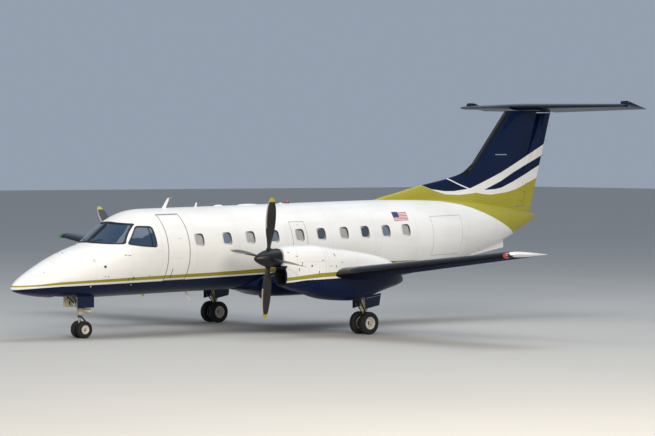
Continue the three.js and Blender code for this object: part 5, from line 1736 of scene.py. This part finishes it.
def button(station, z, radius, side=1, out=0.004):
    """A flat round fitting let into the skin, square to it."""
    here = on_skin(station, z, side)
    upward, aft = on_skin(station, z + 0.01, side) - here, on_skin(station + 0.01, z, side) - here
    normal = upward.cross(aft) * side
    normal.normalize()
    return bar(here - normal * 0.012, here + normal * out, radius, around=24)


BUTTONS = [(2.290, -0.295, 0.033), (2.313, -0.545, 0.010), (2.409, -0.562, 0.012),
           (3.05, -0.64, 0.012), (3.712, -0.587, 0.010), (2.290, -0.295, 0.033, -1),
           (2.409, -0.562, 0.012, -1), (0.76, -0.406, 0.010)]
fittings = [button(*row) for row in BUTTONS]
fittings += [bar(spot(1.548, y, 0.045), spot(1.535, y, 0.085), 0.010, 0.006, 12)
             for y in (-0.102, 0.102)]
for station, z0, z1 in ((2.86, -0.012, -0.020), (2.97, -0.026, -0.030)):
    fittings.append(bar(on_skin(station, z0), on_skin(station + 0.075, z1), 0.007, around=10))
for side in (1, -1):
    root = on_skin(3.20, -0.605, side)
    elbow = root + Vector((0, side * 0.045, -0.035))
    probe_end = root + Vector((0.10, side * 0.05, -0.038))
    fittings += [bar(root, root + Vector((0, side * 0.05, -0.035)), 0.012, 0.008, 12),
                 bar(elbow, probe_end, 0.007, 0.004, 12)]
piece("nose_fittings", joined(*fittings), dark_steel)
pale = drifting("pale_plate", "c9c6c0", "dedbd6", 0.3, 0.45)
plates = [button(2.041, -0.123, 0.042, 1, 0.002), button(1.962, -0.800, 0.017),
          button(3.229, -0.812, 0.014)]
plates += [bar(on_skin(3.85, 0.06, 1, 0.001), on_skin(4.10, 0.055, 1, 0.001), 0.004, around=8),
           bar(on_skin(8.72, 0.585, 1, 0.002), on_skin(8.80, 0.585, 1, 0.002), 0.008, around=10)]
piece("pale_fittings", joined(*plates), pale)
handle = bar(on_skin(4.425, -0.44, 1, 0.006), on_skin(4.425, -0.685, 1, 0.012), 0.008, around=10)
piece("door_handle_bar", handle, dark_steel, "passenger_door")
latches = [bar(on_skin(4.60, 0.36, 1, 0.002), on_skin(4.70, 0.36, 1, 0.002), 0.009, around=10),
           bar(on_skin(4.61, -0.16, 1, 0.002), on_skin(4.68, -0.16, 1, 0.002), 0.009, around=10)]
piece("door_latch_plates", joined(*latches), pale, "passenger_door")

# %% Wipers
wipers = []
for _, side in SIDES:
    pivot = spot(2.43, side * 0.16, 0.318)
    wipers += [bar(pivot, pivot + Vector((-0.012, 0, 0.04)), 0.014, around=14),
               bar(pivot + Vector((-0.01, 0, 0.036)), spot(2.60, side * 0.45, 0.385), 0.007,
                   around=10),
               bar(spot(2.545, side * 0.32, 0.385), spot(2.70, side * 0.62, 0.375), 0.006,
                   around=10)]
piece("wipers", joined(*wipers), rubber)

# %% Nacelle panels and drains
def on_cowl(station, y, z):
    """A point of the port cowl's outer face, found from its section."""
    top, foot, half = smooth_row(NACELLE, station)
    waist = (top + foot) / 2
    tall = top - waist if z > waist else waist - foot
    rise = min(1.0, abs(z - waist) / tall) ** (1 / COWL_SQUARE)
    return spot(station, TRACK + half * math.sqrt(max(0.0, 1 - rise * rise)) ** COWL_SQUARE + y, z)


PROUD = 0.001
UPRIGHT_MARKS = [(6.705, -0.319, 0.045), (6.615, -0.467, 0.04), (7.238, -0.562, 0.04),
                 (7.82, -0.432, 0.03)]
LEVEL_MARKS = [(6.298, -0.01), (6.52, -0.116), (7.342, -0.254), (7.61, -0.417), (8.016, -0.332)]
marks = [bar(on_cowl(s, PROUD, z - size), on_cowl(s, PROUD, z + size), 0.008, around=8)
         for s, z, size in UPRIGHT_MARKS]
marks += [bar(on_cowl(s, PROUD, z), on_cowl(s + 0.055, PROUD, z), 0.007, around=8)
          for s, z in LEVEL_MARKS]
marks += [bar(on_cowl(7.005, -0.01, -0.386), on_cowl(7.005, 0.004, -0.386), 0.026, around=20),
          bar(on_cowl(7.80, PROUD, -0.09), on_cowl(7.83, PROUD, -0.17), 0.010, around=8)]
piece("cowl_marks_left", joined(*marks), duct_black)

# %% [markdown]
# ## Tail end, tip lamps and wicks
# A fixed fairing fills the space between the rudder's foot and the tail cone, and an outlet pipe
# ends the cone. A coloured lamp in a black ring is let into each wing tip's leading edge. Thin
# wicks trail from the ailerons and the rudder, and turn with them.

# %% Tail end, tip lamps and wicks
leaf = [(17.62, 0.095), (17.90, 0.100), (18.30, 0.055), (18.62, 0.014)]
leaf += [(station, -y) for station, y in reversed(leaf)]
foot_fairing = plate(leaf, "z", 0.46, 0.776)
foot_fairing = eased(foot_fairing, 0.006, corners(foot_fairing))
piece("rudder_foot_fairing", foot_fairing, body_paint)
outlet = bar(spot(18.69, 0, 0.483), spot(18.765, 0, 0.480), 0.062, 0.058)
piece("tail_outlet", outlet, duct_black)

for word, side in SIDES:
    lens_colour = red_lens if side > 0 else green_lens
    lens = dome(8.375, side * 9.71, 0.014, 0.24, 0.20, 0.072)
    ring = dome(8.400, side * 9.70, 0.014, 0.24, 0.31, 0.066)
    piece(f"tip_lamp_{word}", lens, lens_colour)
    piece(f"tip_lamp_ring_{word}", ring, rubber)
    wicks = []
    for y in (6.9, 7.7, 8.5, 9.2):
        start = wing_spot(y, 0.985, 0.0)
        start.y *= side
        wicks.append(bar(start, start + Vector((-0.14, 0, -0.012)), 0.005, 0.003, 8))
    piece(f"aileron_wicks_{word}", joined(*wicks), rubber,
          BODY_OF[f"aileron_{word}"])
rudder_wicks = []
for z in (2.3, 2.75, 3.2):
    trail = on_line(FIN_TRAIL, z)
    rudder_wicks.append(bar(spot(trail - 0.02, 0, z), spot(trail + 0.13, 0, z - 0.02), 0.005, 0.003,
                            8))
piece("rudder_wicks", joined(*rudder_wicks), rubber, BODY_OF["rudder"])

# %% [markdown]
# ## Floor and light
# A plain pale floor and large soft lights, as in a studio. The main light is warm and comes from
# behind the camera, as the low sun does in the photograph. A cooler one fills from above, and a
# third lights the nose from ahead.

# %% Floor and lights
floor_finish = Finish("pale_floor", Specular_IOR_Level=0.2)
floor_finish.colour(floor_finish.blend(floor_finish.noise(0.2), rgb("bfbcb6"), rgb("c7c4be")))
floor_finish.rough(floor_finish.noise(2.0) * 0.1 + 0.75)
floor_form = bmesh.new()
bmesh.ops.create_grid(floor_form, x_segments=1, y_segments=1, size=220)
floor_mesh = mesh_of("floor", floor_form)
floor_mesh.materials.append(floor_finish.material)
floor = linked("floor", floor_mesh)
floor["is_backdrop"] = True


def lamp(name, place, size, power, colour):
    """A square soft light that faces the aircraft."""
    light = bpy.data.lights.new(name, "AREA")
    light.shape = "SQUARE"
    light.size = size
    light.energy = power
    light.color = colour
    turn = (AIRCRAFT - Vector(place)).to_track_quat("-Z", "Y").to_matrix().to_4x4()
    linked(name, light).matrix_world = Matrix.Translation(place) @ turn


AIRCRAFT = Vector((0, 0, 2))
lamp("key_light", (22, 38, 20), 22, 12500, (1.0, 0.91, 0.78))
lamp("top_light", (-6, 6, 34), 30, 5200, (0.85, 0.92, 1.0))
lamp("nose_light", (46, -5, 36), 26, 7000, (1.0, 0.95, 0.88))
world = bpy.data.worlds.new("sky")
world.use_nodes = True
sky = world.node_tree.nodes["Background"].inputs
sky["Color"].default_value = (0.60, 0.70, 0.86, 1)
sky["Strength"].default_value = 0.5
bpy.context.scene.world = world
bpy.context.scene.view_settings.view_transform = "Standard"

# %% Last
size_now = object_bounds()
for word, box in (("CAD", CAD_BOX), ("visual", size_now)):
    print(word, "box", [[round(v, 3) for v in corner] for corner in box])
